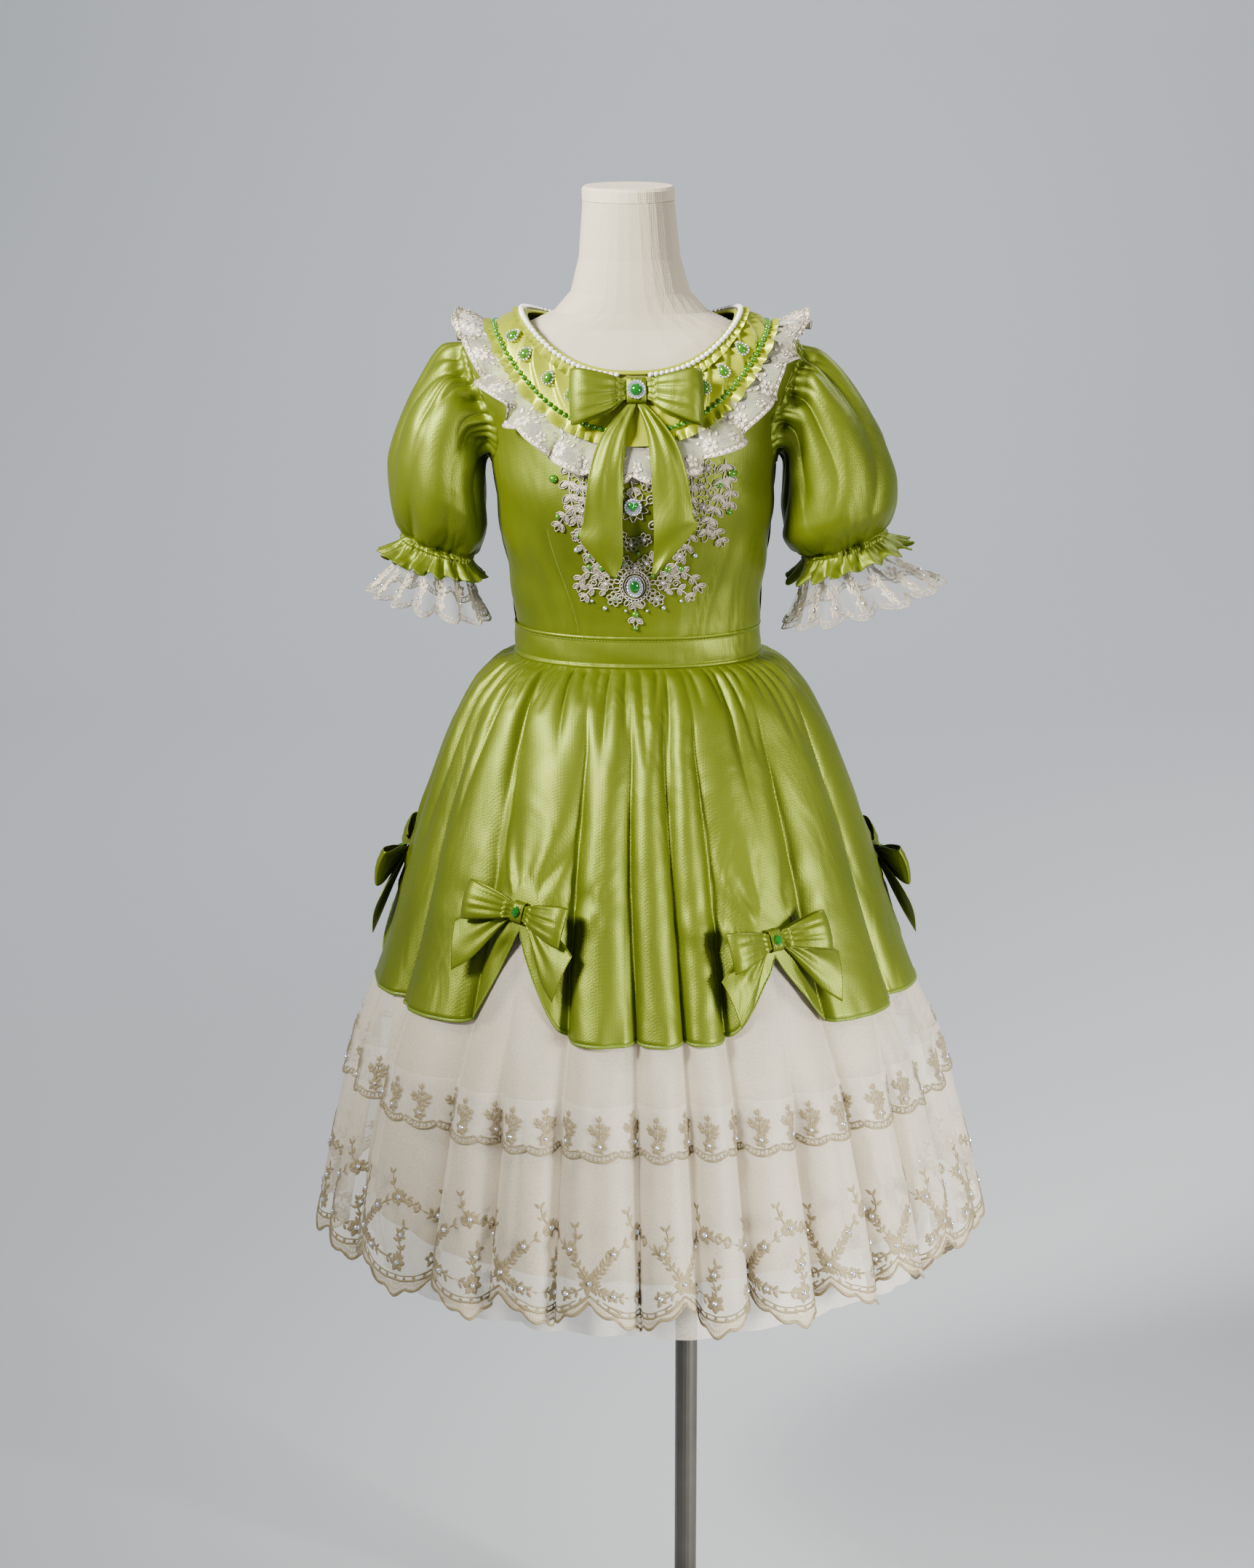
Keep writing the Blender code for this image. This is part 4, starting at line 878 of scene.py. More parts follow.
class Stitches:
    """Flat motifs in cloth distances (along, down, height), gathered into one mesh."""

    def __init__(self):
        self.points, self.faces, self.count = [], [], 0

    def add(self, points, faces):
        self.points.append(np.asarray(points, float))
        self.faces.append(np.asarray(faces, int) + self.count)
        self.count += len(points)

    def cord(self, path, width, height):
        """A raised thread along a path."""
        path = np.asarray(path, float)
        ahead = np.gradient(path, axis=0)
        side = np.stack([-ahead[:, 1], ahead[:, 0]], axis=-1)
        side *= width / 2 / np.maximum(np.linalg.norm(side, axis=1, keepdims=True), 1e-9)
        flat, high = np.zeros((len(path), 1)), np.full((len(path), 1), height)
        rows = [np.hstack([path + side, flat]), np.hstack([path, high]), np.hstack([path - side, flat])]
        i = np.arange(len(path) - 1)
        n = len(path)
        quads = [[i + k * n, i + (k + 1) * n, i + (k + 1) * n + 1, i + k * n + 1] for k in (0, 1)]
        self.add(np.vstack(rows), np.concatenate([np.stack(q, -1) for q in quads]))

    def leaf(self, base, angle, length, width, height=0.0006):
        """A pointed leaf or petal with a raised rib."""
        across, ahead = np.array([-math.sin(angle), math.cos(angle)]), np.array([math.cos(angle), math.sin(angle)])
        base = np.asarray(base, float)
        spots = [
            (0, 0, 0.2), (0.35, 0.5, 0), (0.75, 0.36, 0), (1, 0, 0.2), (0.75, -0.36, 0), (0.35, -0.5, 0), (0.5, 0, 1),
        ]
        points = [[*(base + ahead * a * length + across * b * width), c * height] for a, b, c in spots]
        self.add(points, [[0, 6, 1, 0], [1, 6, 2, 1], [2, 6, 3, 2], [3, 6, 4, 3], [4, 6, 5, 4], [5, 6, 0, 5]])

    def flower(self, middle, radius, petals=5, start=0.0, height=0.0008):
        for k in range(petals):
            self.leaf(middle, start + k * 2 * math.pi / petals, radius, radius * 0.75, height)

    def petal(self, base, angle, length, width, height=0.0011):
        """The corded outline of a leaf or looped petal."""
        ahead, across = np.array([math.cos(angle), math.sin(angle)]), np.array([-math.sin(angle), math.cos(angle)])
        rim = (
            (0.0, 0.0), (0.3, 0.42), (0.65, 0.46), (0.95, 0.16), (0.95, -0.16), (0.65, -0.46), (0.3, -0.42), (0.0, 0.0),
        )
        base = np.asarray(base, float)
        self.cord([base + ahead * a * length + across * b * width for a, b in rim], 0.0011, height)

    def ring(self, middle, radius, width, height=0.0009, sides=7, stretch=1.0):
        around = np.linspace(0, 2 * np.pi, sides + 1)
        middle = np.asarray(middle, float)
        self.cord(middle + radius * np.stack([np.cos(around), stretch * np.sin(around)], -1), width, height)

    def rose(self, middle, radius, petals, start):
        """A round flower of looped petals about a small ring."""
        for k in range(petals):
            self.petal(middle, start + k * 2 * math.pi / petals, radius, radius * 4.4 / petals)
        self.ring(middle, radius * 0.24, 0.0012)

    def dome(self, middle, radius, height, sides=8, stretch=1.0, heart=False):
        around = np.arange(sides) * 2 * np.pi / sides
        across, tall = np.cos(around), np.sin(around)
        if heart:
            across = np.sin(around) ** 3
            waves = 13 * np.cos(around) - 5 * np.cos(2 * around) - 2 * np.cos(3 * around) - np.cos(4 * around)
            tall = (waves + 2.5) / 15
        rings = []
        for size, rise in ((1.0, 0.0), (0.85, 0.55), (0.45, 0.92)):
            x = middle[0] + radius * size * across
            y = middle[1] + radius * stretch * size * tall
            rings.append(np.stack([x, y, np.full(sides, height * rise)], -1))
        points = np.vstack(rings + [[[middle[0], middle[1], height]]])
        i = np.arange(sides)
        j = (i + 1) % sides
        faces = [np.stack([i + k * sides, i + (k + 1) * sides, j + (k + 1) * sides, j + k * sides], -1) for k in (0, 1)]
        top = 3 * sides
        faces.append(np.stack([i + 2 * sides, np.full(sides, top), j + 2 * sides, i + 2 * sides], -1))
        self.add(points, np.concatenate(faces))

    def build(self, name, lay, material, nodes=(), slot=None):
        """Lays every motif with lay(along, down, height), and makes one mesh of triangles."""
        points, faces = np.vstack(self.points), np.concatenate(self.faces)
        laid = lay(points[:, 0], points[:, 1], points[:, 2])
        halves = np.concatenate([faces[:, [0, 1, 2]], faces[:, [0, 2, 3]]])
        real = (halves[:, 0] != halves[:, 1]) & (halves[:, 1] != halves[:, 2]) & (halves[:, 0] != halves[:, 2])
        halves = halves[real]
        world = place(laid)
        a, b, c = (world[halves[:, k]] for k in range(3))
        outward = lay(points[:, 0], points[:, 1], points[:, 2] + 0.001) - laid
        inverted = (np.cross(b - a, c - a) * outward[halves[:, 0]]).sum(-1) < 0
        halves[inverted] = halves[inverted][:, ::-1]
        return add_piece(name, mesh_of(name, world, halves), material, nodes)


# Pieces


def refinish(node, finish):
    """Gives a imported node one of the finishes."""
    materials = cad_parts[node].data.materials
    materials.clear()
    materials.append(finish_of(finish))


def make_form():
    refinish("form_torso", "form_linen")
    refinish("form_neck_cap", "cap_linen")
    for name in ("stand_pole", "stand_foot", "stand_collar", "zip_pull"):
        refinish(name, "steel")


def bodice_points(front, spans, rows):
    """A bodice panel's outer face over a span of -1 (left side seam) to 1 (right), top row first."""
    neck_share, side_share = 0.66, 0.55
    low = WAISTBAND_TOP - 0.003
    corner = np.pi / 2
    spans = np.asarray(spans)[None, :]
    around = np.clip(spans / neck_share, -1, 1) * np.pi / 2
    turn, up = ring_turn_up(NECKLINE, around if front else np.pi - around)
    turn = turn if front else np.sign(spans + 1e-12) * (np.pi - np.abs(turn))
    beyond = np.clip((np.abs(spans) - neck_share) / (1 - neck_share), 0, 1)
    top_up = up + (SHOULDER_TIP_UP - up) * beyond
    top_turn = np.where(beyond > 0, np.sign(spans) * corner, turn)
    share = np.linspace(1, 0, rows)[:, None]
    above = np.clip((share - side_share) / (1 - side_share), 0, 1)
    hole_turn, hole_up = armhole(np.pi * (1 - above))
    side_turn = np.where(above > 0, hole_turn, corner)
    side_up = np.where(above > 0, hole_up, low + (UNDERARM_UP - low) * np.clip(share / side_share, 0, 1))
    across = (spans + 1) / 2
    turn = share * top_turn + (1 - share) * (2 * across - 1) * corner + (2 * across - 1) * (side_turn - corner)
    up = share * top_up + (1 - share) * low + side_up - (share * SHOULDER_TIP_UP + (1 - share) * low)
    world_turn = turn if front else np.pi - turn
    points = body(world_turn, up, 0.0)
    dent = np.zeros_like(up)
    if front:
        for side in (-1, 1):
            line = side * dart_x(up)
            x = points[..., 0]
            dart = np.exp(-(((x - line) / DART_WIDTH) ** 2)) * (1 - smooth_step(0.13, 0.165, up))
            puff = np.exp(-(((x - line) / 0.030) ** 2)) * (1 - smooth_step(0.10, 0.18, up))
            dent -= 0.0016 * dart
            dent += 0.0012 * puff * np.sin((x - line) * 260 + side)
        beside = smooth_step(0.08, 0.13, np.abs(points[..., 0]))
        dent += 0.0012 * np.sin(points[..., 2] * 95 + points[..., 0] * 38) * beside
    else:
        dent += 0.0010 * np.sin(points[..., 2] * 80 + np.abs(points[..., 0]) * 30)
        for side in (-1, 1):
            away = (points[..., 0] - side * BACK_DART_X) / DART_WIDTH
            dent -= 0.0014 * (np.exp(-(away**2)) * (1 - smooth_step(0.12, 0.15, up)))
    tucked = 0.0008 * (1 - smooth_step(WAISTBAND_TOP - 0.001, WAISTBAND_TOP + 0.004, up))
    return body(world_turn, up, BODICE_OUT + 0.0013 + dent - tucked)


def make_bodice():
    satin = finish_of("green_satin")
    half_gap = SEAM / 0.18
    for name, front, spans in (
        ("bodice_front", True, np.linspace(-1, 1, 121)),
        ("bodice_back_right", False, np.linspace(half_gap, 1, 61)),
        ("bodice_back_left", False, np.linspace(-1, -half_gap, 61)),
    ):
        points = bodice_points(front, spans, 72)
        if not front:
            points = points[:, ::-1]
        made = Cloth(points, False).build(name + "_cloth", satin, nodes=[name], slot="green_satin")
        if front:
            add_dart_seams(points)


def dart_x(up):
    """How far out the front's dart runs at a height."""
    return 0.062 + 0.030 * smooth_step(0.03, 0.16, up)


def add_dart_seams(points):
    """The fine sewn line of each dart in the bodice's front."""
    cloth, seams = Cloth(points, False), Stitches()
    columns = np.arange(points.shape[1])
    low_rows = [row for row in points if WAISTBAND_TOP < row[:, 2].mean() < 0.150]
    first = len(points) - len(low_rows) - sum(row[:, 2].mean() <= WAISTBAND_TOP for row in points)
    for side in (-1, 1):
        path = [
            (np.interp(side * dart_x(row[:, 2].mean()), row[:, 0], columns), first + k)
            for k, row in enumerate(low_rows)
        ]
        seams.cord(path, 0.30, 0.0005)
    seams.build("bodice_dart_seams", cloth.sample, finish_of("green_edge"))


def make_waistband():
    """A band with a corded edge above and below, stitched beside each cord."""
    turns = np.radians(np.arange(0, 360, 1.0))
    profile = [
        (0.0347, 0.0030), (0.0340, 0.0038), (0.0325, 0.0040), (0.0312, 0.0034), (0.0305, 0.0026), (0.0280, 0.0030),
        (0.0200, 0.0033), (0.0130, 0.0033), (0.0060, 0.0029), (0.0048, 0.0026), (0.0042, 0.0034), (0.0026, 0.0044),
        (0.0010, 0.0042), (0.0, 0.0032),
    ]
    ups, outs = np.array(profile).T
    rows = []
    for up, out in zip(ups, outs):
        soft = 0.0007 * np.sin(9 * turns + 140 * up) * np.sin(np.pi * np.clip(up / WAISTBAND_TOP, 0, 1))
        rows.append(body(turns, np.full(len(turns), up), out + soft))
    cloth = Cloth(rows, True)
    made = cloth.build("waistband_cloth", finish_of("green_satin"), nodes=["waistband"], slot="green_satin")
    lines = Stitches()
    lengths = cloth.row_lengths(0)
    for up in (0.0300, 0.0055):
        down = float(np.interp(-up, -ups, np.arange(len(ups))))
        for start in np.arange(0, lengths[-1], 0.0034):
            lines.cord([(start, down), (start + 0.0011, down), (start + 0.0022, down)], 0.0005, 0.0004)

    def lay(along_, down, out):
        return cloth.sample(np.interp(along_, lengths, np.arange(len(lengths))), down, out)

    # A cord's width is across the rows here, which are about 2 mm apart.
    for points in lines.points:
        middle = points[len(points) // 3 : 2 * len(points) // 3, 1].mean()
        points[:, 1] = middle + (points[:, 1] - middle) * 450
    lines.build("waistband_stitching", lay, finish_of("green_edge"))


Crease = namedtuple("Crease", "turn length depth width slant")


def crease_list(count, seed, lengths=(0.034, 0.085, 0.190), shares=(0.58, 0.88)):
    """Uneven creases round a gathered seam: many short ones, some longer and a few long."""
    dice = np.random.default_rng(seed)
    made = []
    for k in range(count):
        kind = dice.random()
        size = 0 if kind < shares[0] else 1 if kind < shares[1] else 2
        length = lengths[size] * dice.uniform(0.75, 1.3)
        turn = (k + dice.uniform(-0.32, 0.32)) * 360 / count - 180
        made.append(Crease(turn, length, (0.0050, 0.0066, 0.0080)[size] * dice.uniform(0.75, 1.2),
                           dice.uniform(1.3, 2.1) * 64 / count, dice.uniform(-3.5, 3.5)))
    return made


def drawn_in(turns, depth, creases):
    """How far a list of creases draws the cloth in, for turns in degrees and distances from the seam."""
    total = np.zeros(np.broadcast_shapes(np.shape(turns), np.shape(depth)))
    for crease in creases:
        down = depth / crease.length
        away = np.abs(away_from(turns, crease.turn + crease.slant * down)) / (crease.width * (1 + 0.5 * down))
        fade = np.interp(down, [0, 0.08, 0.35, 1.0], [0.35, 1.0, 0.75, 0.0])
        total = total + crease.depth * fade * np.exp(-(away**1.15))
    return total


def green_skirt(turns, ups_of_row, settings):
    """The green skirt: short uneven gathers under the waistband, then large folds, pulled towards each bow."""
    gathers = crease_list(WAIST_GATHERS, 3)
    angle = np.radians(turns)
    along_hem = np.stack([np.cos(angle), np.sin(angle), np.zeros(len(turns))], -1)
    rows = []
    for ups in ups_of_row:
        depth = np.maximum(-ups, 0.0)
        sway = 1.8 * drift(turns + depth * 40, 12, 3) * np.sin(np.pi * np.clip(depth / -SKIRT_HEM_UP, 0, 1))
        share, width = fold_share(turns + sway, SKIRT_VALLEYS)
        large = np.interp(
            depth, [0, 0.03, 0.08, 0.15, 0.25, -SKIRT_HEM_UP], [0.0, 0.0035, 0.0115, 0.0185, 0.0240, SKIRT_DEPTH],
        )
        inward = large * (1 - np.abs(np.sin(np.pi * share)) ** 0.62)
        inward = inward + drawn_in(turns, depth, gathers) * settings.gather_depth / LISTED_GATHER_DEPTH
        inward = inward + 0.0022 * (1 + drift(turns, 21, 7)) * smooth_step(0.05, 0.16, depth)
        bulge = 0.0060 * np.sin(2 * np.pi * (share - 0.5)) * np.clip(width / 22, 0.3, 1.2)
        bulge = bulge * smooth_step(0.06, 0.30, depth)
        pull = np.zeros_like(turns)
        for bow in SKIRT_BOWS:
            x = np.radians(away_from(turns, bow.turn)) * 0.25
            y = ups - bow.up
            far = np.hypot(x, y)
            way = np.arctan2(y, x)
            rays = 0.6 * np.cos(9 * way + 1.3 + bow.roll) + 0.4 * np.cos(15 * way)
            pull += 0.0030 * rays * smooth_step(0.010, 0.035, far) * (1 - smooth_step(0.05, 0.13, far))
            seat = 1 - smooth_step(0.010, 0.050, far)
            inward, bulge = inward * (1 - seat), bulge * (1 - seat)
        curl = 0.0030 * smooth_step(-0.30, SKIRT_HEM_UP, ups) * np.sin(np.radians(turns) * 31 + drift(turns, 15) * 2)
        inward = inward - pull * (inward > 0.0012) + np.maximum(curl, 0)
        room = skirt_behind(turns, ups) - 0.0030
        inward = np.clip(inward, 0.0, np.maximum(room, 0.0005))
        inward = np.where(ups > 0, 0.0022 + ups * 0.4, inward)
        rows.append(skirt_point(turns, ups, inward) + along_hem * bulge[:, None])
    return np.array(rows)


def make_green_skirt(settings):
    turns = np.arange(settings.skirt_columns) * 360 / settings.skirt_columns - 180
    shorter = 1 - swag_lift(turns) / abs(SKIRT_HEM_UP)
    row_ups = -np.concatenate([
        np.linspace(-0.003, 0.006, 6)[:-1], np.linspace(0.006, 0.05, 14)[:-1], np.linspace(0.05, abs(SKIRT_HEM_UP), 42),
    ])
    rows = []
    for up in row_ups:
        blend = smooth_step(0.01, 0.06, -up)
        rows.append(up * (1 - blend * (1 - shorter)))
    cloth = Cloth(green_skirt(turns, rows, settings), True)
    made = cloth.build("skirt_cloth", finish_of("green_satin"), SATIN, nodes=["skirt_outer"], slot="green_satin")
    lengths = cloth.row_lengths(len(rows) - 1)
    edge = Stitches()
    path = np.linspace(0, lengths[-1], 1400)
    edge.cord(np.stack([path, np.full(len(path), 0.0)], -1), 0.0026, 0.0009)

    def lay(along_, down, out):
        columns = np.interp(along_, lengths, np.arange(len(lengths)))
        return cloth.sample(columns, len(rows) - 1.25 + down * 150, out + 0.0001)

    edge.build("skirt_rolled_hem", lay, finish_of("green_edge"))


def hem_scallop(share):
    """Height of the stepped lace hem above its lowest tip over one repeat, from notch to notch."""
    away = np.abs(share % 1 - 0.5) * 2
    steps = np.abs(np.sin(np.pi * (share * 5)))
    return 0.032 * away**1.25 - 0.0055 * steps + 0.0055


def hem_arc(share):
    """Height of the arc that closes the lace hem's dense border, over one repeat."""
    return 0.019 + 0.027 * np.abs(share * 2 - 1) ** 2.2


def lace_point(turns, up):
    """The lace skirt hangs in the green skirt's folds and breaks into smaller ones below the green hem."""
    up = np.broadcast_to(up, turns.shape).astype(float)
    loose = np.clip((-0.34 - up) / 0.12, 0, 1)
    green = 1 - lobes(turns, SKIRT_VALLEYS)
    share, width = fold_share(turns, LACE_VALLEYS)
    own = 1 - np.abs(np.sin(np.pi * share)) ** 0.60
    small = 1 - lobes(turns + 1.5 * drift(turns, 5), finer(LACE_VALLEYS, 7.0, 8), 0.9)
    depth = np.interp(-up, [-SKIRT_HEM_UP, -LACE_HEM_UP], [SKIRT_DEPTH, LACE_DEPTH])
    behind = np.interp(-up, [-SKIRT_HEM_UP, 0.412], [0.0080, 0.0])
    fine = 0.0040 * (0.6 + 0.5 * drift(turns, 25, 6)) * small * smooth_step(0.37, 0.48, -up)
    inward = depth * (green * (1 - loose) + own * loose) + behind + np.maximum(fine, 0)
    points = skirt_point(turns, up, np.maximum(inward, behind))
    angle = np.radians(turns)
    bulge = 0.0075 * np.sin(2 * np.pi * (share - 0.5)) * np.clip(width / 16, 0.2, 1.4) * smooth_step(0.38, 0.60, -up)
    points[..., 0] += bulge * np.cos(angle)
    points[..., 1] += bulge * np.sin(angle)
    return points


def border_motifs(repeats, period, gold, stones):
    """The hem's embroidery: an edge cord, arcs, crossed vines with leaves, and flowers with stones."""
    for k in range(repeats):
        left, right = k * period, k * period + period
        middle = left + period / 2
        share = np.linspace(0, 1, 37)
        hem = hem_scallop(share)
        gold.cord(np.stack([left + share * period, -hem - 0.0018], -1), 0.0038, 0.0014)
        arc = hem_arc(share)
        gold.cord(np.stack([left + share * period, -arc], -1)[::2], 0.0026, 0.0011)
        gold.cord(np.stack([left + share * period, -arc - 0.0050], -1)[4:-4:2], 0.0016, 0.0009)
        vines = [
            ((left, 0.058), (left + 0.012, 0.072), (left + 0.026, 0.088), (middle - 0.008, 0.104),
             (middle + 0.014, 0.100)),
            ((right, 0.058), (right - 0.012, 0.074), (right - 0.024, 0.088), (middle + 0.012, 0.100)),
            ((left, 0.058), (left + 0.010, 0.052), (left + 0.024, 0.046), (middle, 0.037)),
            ((right, 0.058), (right - 0.012, 0.050), (right - 0.026, 0.044)),
            ((middle, 0.037), (middle + 0.003, 0.050), (middle - 0.003, 0.064), (middle + 0.003, 0.074)),
            ((middle - 0.008, 0.104), (middle - 0.018, 0.114), (middle - 0.022, 0.126)),
            ((right - 0.024, 0.088), (right - 0.016, 0.100), (right - 0.018, 0.112)),
        ]
        for vine in vines:
            path = spline(vine, 16) * (1, -1)
            gold.cord(path[::3], 0.0022, 0.0010)
            ahead = np.gradient(path, axis=0)
            length = np.linalg.norm(np.diff(path, axis=0), axis=1).sum()
            for number, step in enumerate(np.linspace(2, 15, max(2, round(length / 0.0085))).astype(int)):
                heading = math.atan2(ahead[step, 1], ahead[step, 0])
                side = 1 if number % 2 else -1
                gold.leaf(path[step], heading + side * 0.75, 0.0092, 0.0042, 0.0010)
                gold.leaf(path[step], heading - side * 0.85, 0.0078, 0.0038, 0.0010)
        blooms = [
            (left, 0.058, 0.0118, 6), (middle, 0.037, 0.0108, 6), (middle - 0.008, 0.104, 0.0100, 5),
            (left + 0.026, 0.088, 0.0078, 5), (right - 0.026, 0.045, 0.0078, 5), (left + 0.025, 0.046, 0.0074, 5),
            (right - 0.023, 0.090, 0.0082, 5), (middle + 0.001, 0.066, 0.0074, 5),
        ]
        for x, up, radius, petals in blooms:
            gold.flower((x, -up), radius, petals, 0.3 + 9 * x, 0.0013)
            stones.dome((x, -up), 0.0031, 0.0034, 7)
        for x in np.linspace(left + 0.009, right - 0.009, 11):
            near = abs(x - middle) / (period / 2)
            gold.leaf((x, -(0.0245 + 0.027 * near**2.2)), math.pi / 2, 0.0066, 0.0040)


def make_lace_skirt(settings):
    columns = settings.lace_columns
    turns = np.arange(columns) * 360 / columns - 180
    angle = np.radians(turns)
    total, share = edge_shares(lace_point(turns, LACE_HEM_UP))
    scallop = hem_scallop(share * REPEATS)
    top = moved_in(section_point(LINING, angle, LACE_TOP_UP, 2.0), angle, -0.0014)
    start = lace_point(turns, SKIRT_HEM_UP)
    rows = [top + (start - top) * part for part in np.linspace(0, 1, 12)[:-1]]
    for up in np.linspace(SKIRT_HEM_UP, LACE_LEVEL_UP, 26):
        rows.append(lace_point(turns, up))
    for part in np.linspace(0, 1, 15)[1:]:
        rows.append(lace_point(turns, LACE_LEVEL_UP + (LACE_HEM_UP + scallop - LACE_LEVEL_UP) * part))
    cloth = Cloth(rows, True)
    arc = hem_arc((share * REPEATS) % 1)
    ups = cloth.points[..., 2]
    filled = (ups < LACE_HEM_UP + arc[None, :]).astype(float)
    made = cloth.build("lace_skirt_cloth", sheer_of("organza"), filled=filled, nodes=["lace_skirt"], slot="lace")

    lengths = np.concatenate([share, [1.0]]) * total
    table = cloth.points[..., 2]

    def lay(along_, down, out):
        where = np.interp(along_ % total, lengths, np.arange(len(lengths)))
        height = LACE_HEM_UP - down
        base = np.clip(np.round(where).astype(int) % columns, 0, columns - 1)
        low, high = np.zeros(len(where)), np.full(len(where), len(rows) - 1.0)
        for _ in range(12):
            middle = (low + high) / 2
            r = np.clip(np.floor(middle).astype(int), 0, len(rows) - 2)
            value = table[r, base] + (table[r + 1, base] - table[r, base]) * (middle - r)
            above = value > height
            low, high = np.where(above, middle, low), np.where(above, high, middle)
        return cloth.sample(where, (low + high) / 2, out + 0.0002)

    gold, stones = Stitches(), Stitches()
    border_motifs(REPEATS, total / REPEATS, gold, stones)
    gold.build("hem_embroidery", lay, finish_of("gold_thread"))
    stones.build("hem_stones", lay, finish_of("crystal"))


def ring_edge(repeats, period, threads, stones, tip, height, flower=0.0085, rise=1.0):
    """A scalloped edge of small rings, with a flower and a branching sprig over each scallop."""
    for k in range(repeats):
        left, middle = k * period, (k + 0.5) * period
        share = np.linspace(0, 1, 15)
        edge = tip - height * (1 - np.sin(np.pi * share) ** 0.7)
        threads.cord(np.stack([left + share * period, edge - 0.0010], -1), 0.0024, 0.0011)
        threads.cord(np.stack([left + share * period, edge - 0.0074], -1)[1:-1], 0.0014, 0.0009)
        for spot in np.linspace(0.08, 0.92, 5):
            down = tip - height * (1 - math.sin(math.pi * spot) ** 0.7) - 0.0042
            threads.ring((left + spot * period, down), 0.0025, 0.0013)
        bloom = (middle, tip - 0.0165)
        threads.flower(bloom, flower, 6, 0.2, 0.0012)
        stones.dome(bloom, 0.0026, 0.0030, 7)
        for lean, length in ((0.0, 0.019), (-0.62, 0.0135), (0.66, 0.0125)):
            ahead = np.array([math.sin(lean), -math.cos(lean)])
            stem = [np.array([middle, tip - 0.021]) + ahead * length * rise * part for part in (0, 0.35, 0.7, 1.0)]
            threads.cord(stem, 0.0015, 0.0009)
            for spot, way in ((stem[1], 1), (stem[2], -1), (stem[2], 1), (stem[3], -1)):
                threads.leaf(spot, -math.pi / 2 + lean + way * 0.8, 0.0068, 0.0042, 0.0010)
            threads.leaf(stem[3], -math.pi / 2 + lean, 0.0072, 0.0044, 0.0010)


def make_lace_band(settings):
    columns = settings.lace_columns
    turns = np.arange(columns) * 360 / columns - 180
    total, share = edge_shares(lace_point(turns, BAND_HEM_UP))
    wave = BAND_SCALLOP * scallop_rise(share, BAND_REPEATS)
    angle = np.radians(turns)
    out = np.stack([np.sin(angle), -np.cos(angle), np.zeros(columns)], -1) * 0.0022
    rows = []
    for part in np.linspace(0, 1, 14):
        rows.append(lace_point(turns, BAND_TOP_UP + (BAND_HEM_UP + wave - BAND_TOP_UP) * part) + out)
    cloth = Cloth(rows, True)
    made = cloth.build("lace_band_cloth", sheer_of("lace_net"), nodes=["lace_band"], slot="lace")
    lengths = np.concatenate([share, [1.0]]) * total
    threads, stones = Stitches(), Stitches()
    drop = BAND_TOP_UP - BAND_HEM_UP
    ring_edge(BAND_REPEATS, total / BAND_REPEATS, threads, stones, drop, BAND_SCALLOP)

    def lay(along_, down, height):
        where = np.interp(along_ % total, lengths, np.arange(len(lengths)))
        bottom = drop - np.interp(where % columns, np.arange(columns), wave)
        return cloth.sample(where, np.clip(down / bottom, 0, 1) * (len(rows) - 1), height + 0.0002)

    threads.build("band_embroidery", lay, finish_of("gold_thread"))
    stones.build("band_stones", lay, finish_of("crystal"))


def make_lining():
    angle = np.radians(np.arange(0, 360, 1.5))
    soft = ripple(angle, 18, 8)
    rows = []
    for up in -np.linspace(SEAM, -LINING_HEM_UP, 40):
        square = float(np.interp(-up, [0, 0.07], [SQUARE, 2.0]))
        ring = section_point(LINING, angle, np.full(len(angle), up), square)
        inward = 0.010 * (1 - soft) * float(smooth_step(0.15, 0.5, -up))
        rows.append(moved_in(ring, angle, inward))
    made = Cloth(rows, True).build("lining_cloth", finish_of("cream_lining"), nodes=["lining"], slot="cream_lining")
    soft = ripple(angle, 26, 9)
    rows = []
    for up in -np.linspace(-TULLE_TOP_UP, -TULLE_HEM_UP, 24):
        ring = section_point(LINING, angle, np.full(len(angle), up), 2.0)
        inward = 0.0022 + 0.010 * (1 - ripple(angle, 18, 8)) * float(smooth_step(0.15, 0.5, -up))
        inward = inward + 0.012 * (1 - soft) * float(smooth_step(0.60, 0.66, -up))
        rows.append(moved_in(ring, angle, inward))
    made = Cloth(rows, True).build("tulle_flounce_cloth", sheer_of("tulle"), nodes=["tulle_flounce"], slot="tulle")


def sleeve_ring(side, ring, around):
    """A ring of a sleeve or cuff: 0 is its outer side, 90 degrees its front and 180 its inner side."""
    outer_x, outer_up, inner_x, inner_up, half_depth = ring
    reach_x, reach_up = (outer_x - inner_x) / 2, (outer_up - inner_up) / 2
    x = (outer_x + inner_x) / 2 + reach_x * np.cos(around)
    up = (outer_up + inner_up) / 2 + reach_up * np.cos(around)
    return np.stack([side * x, -half_depth * np.sin(around), up], axis=-1)


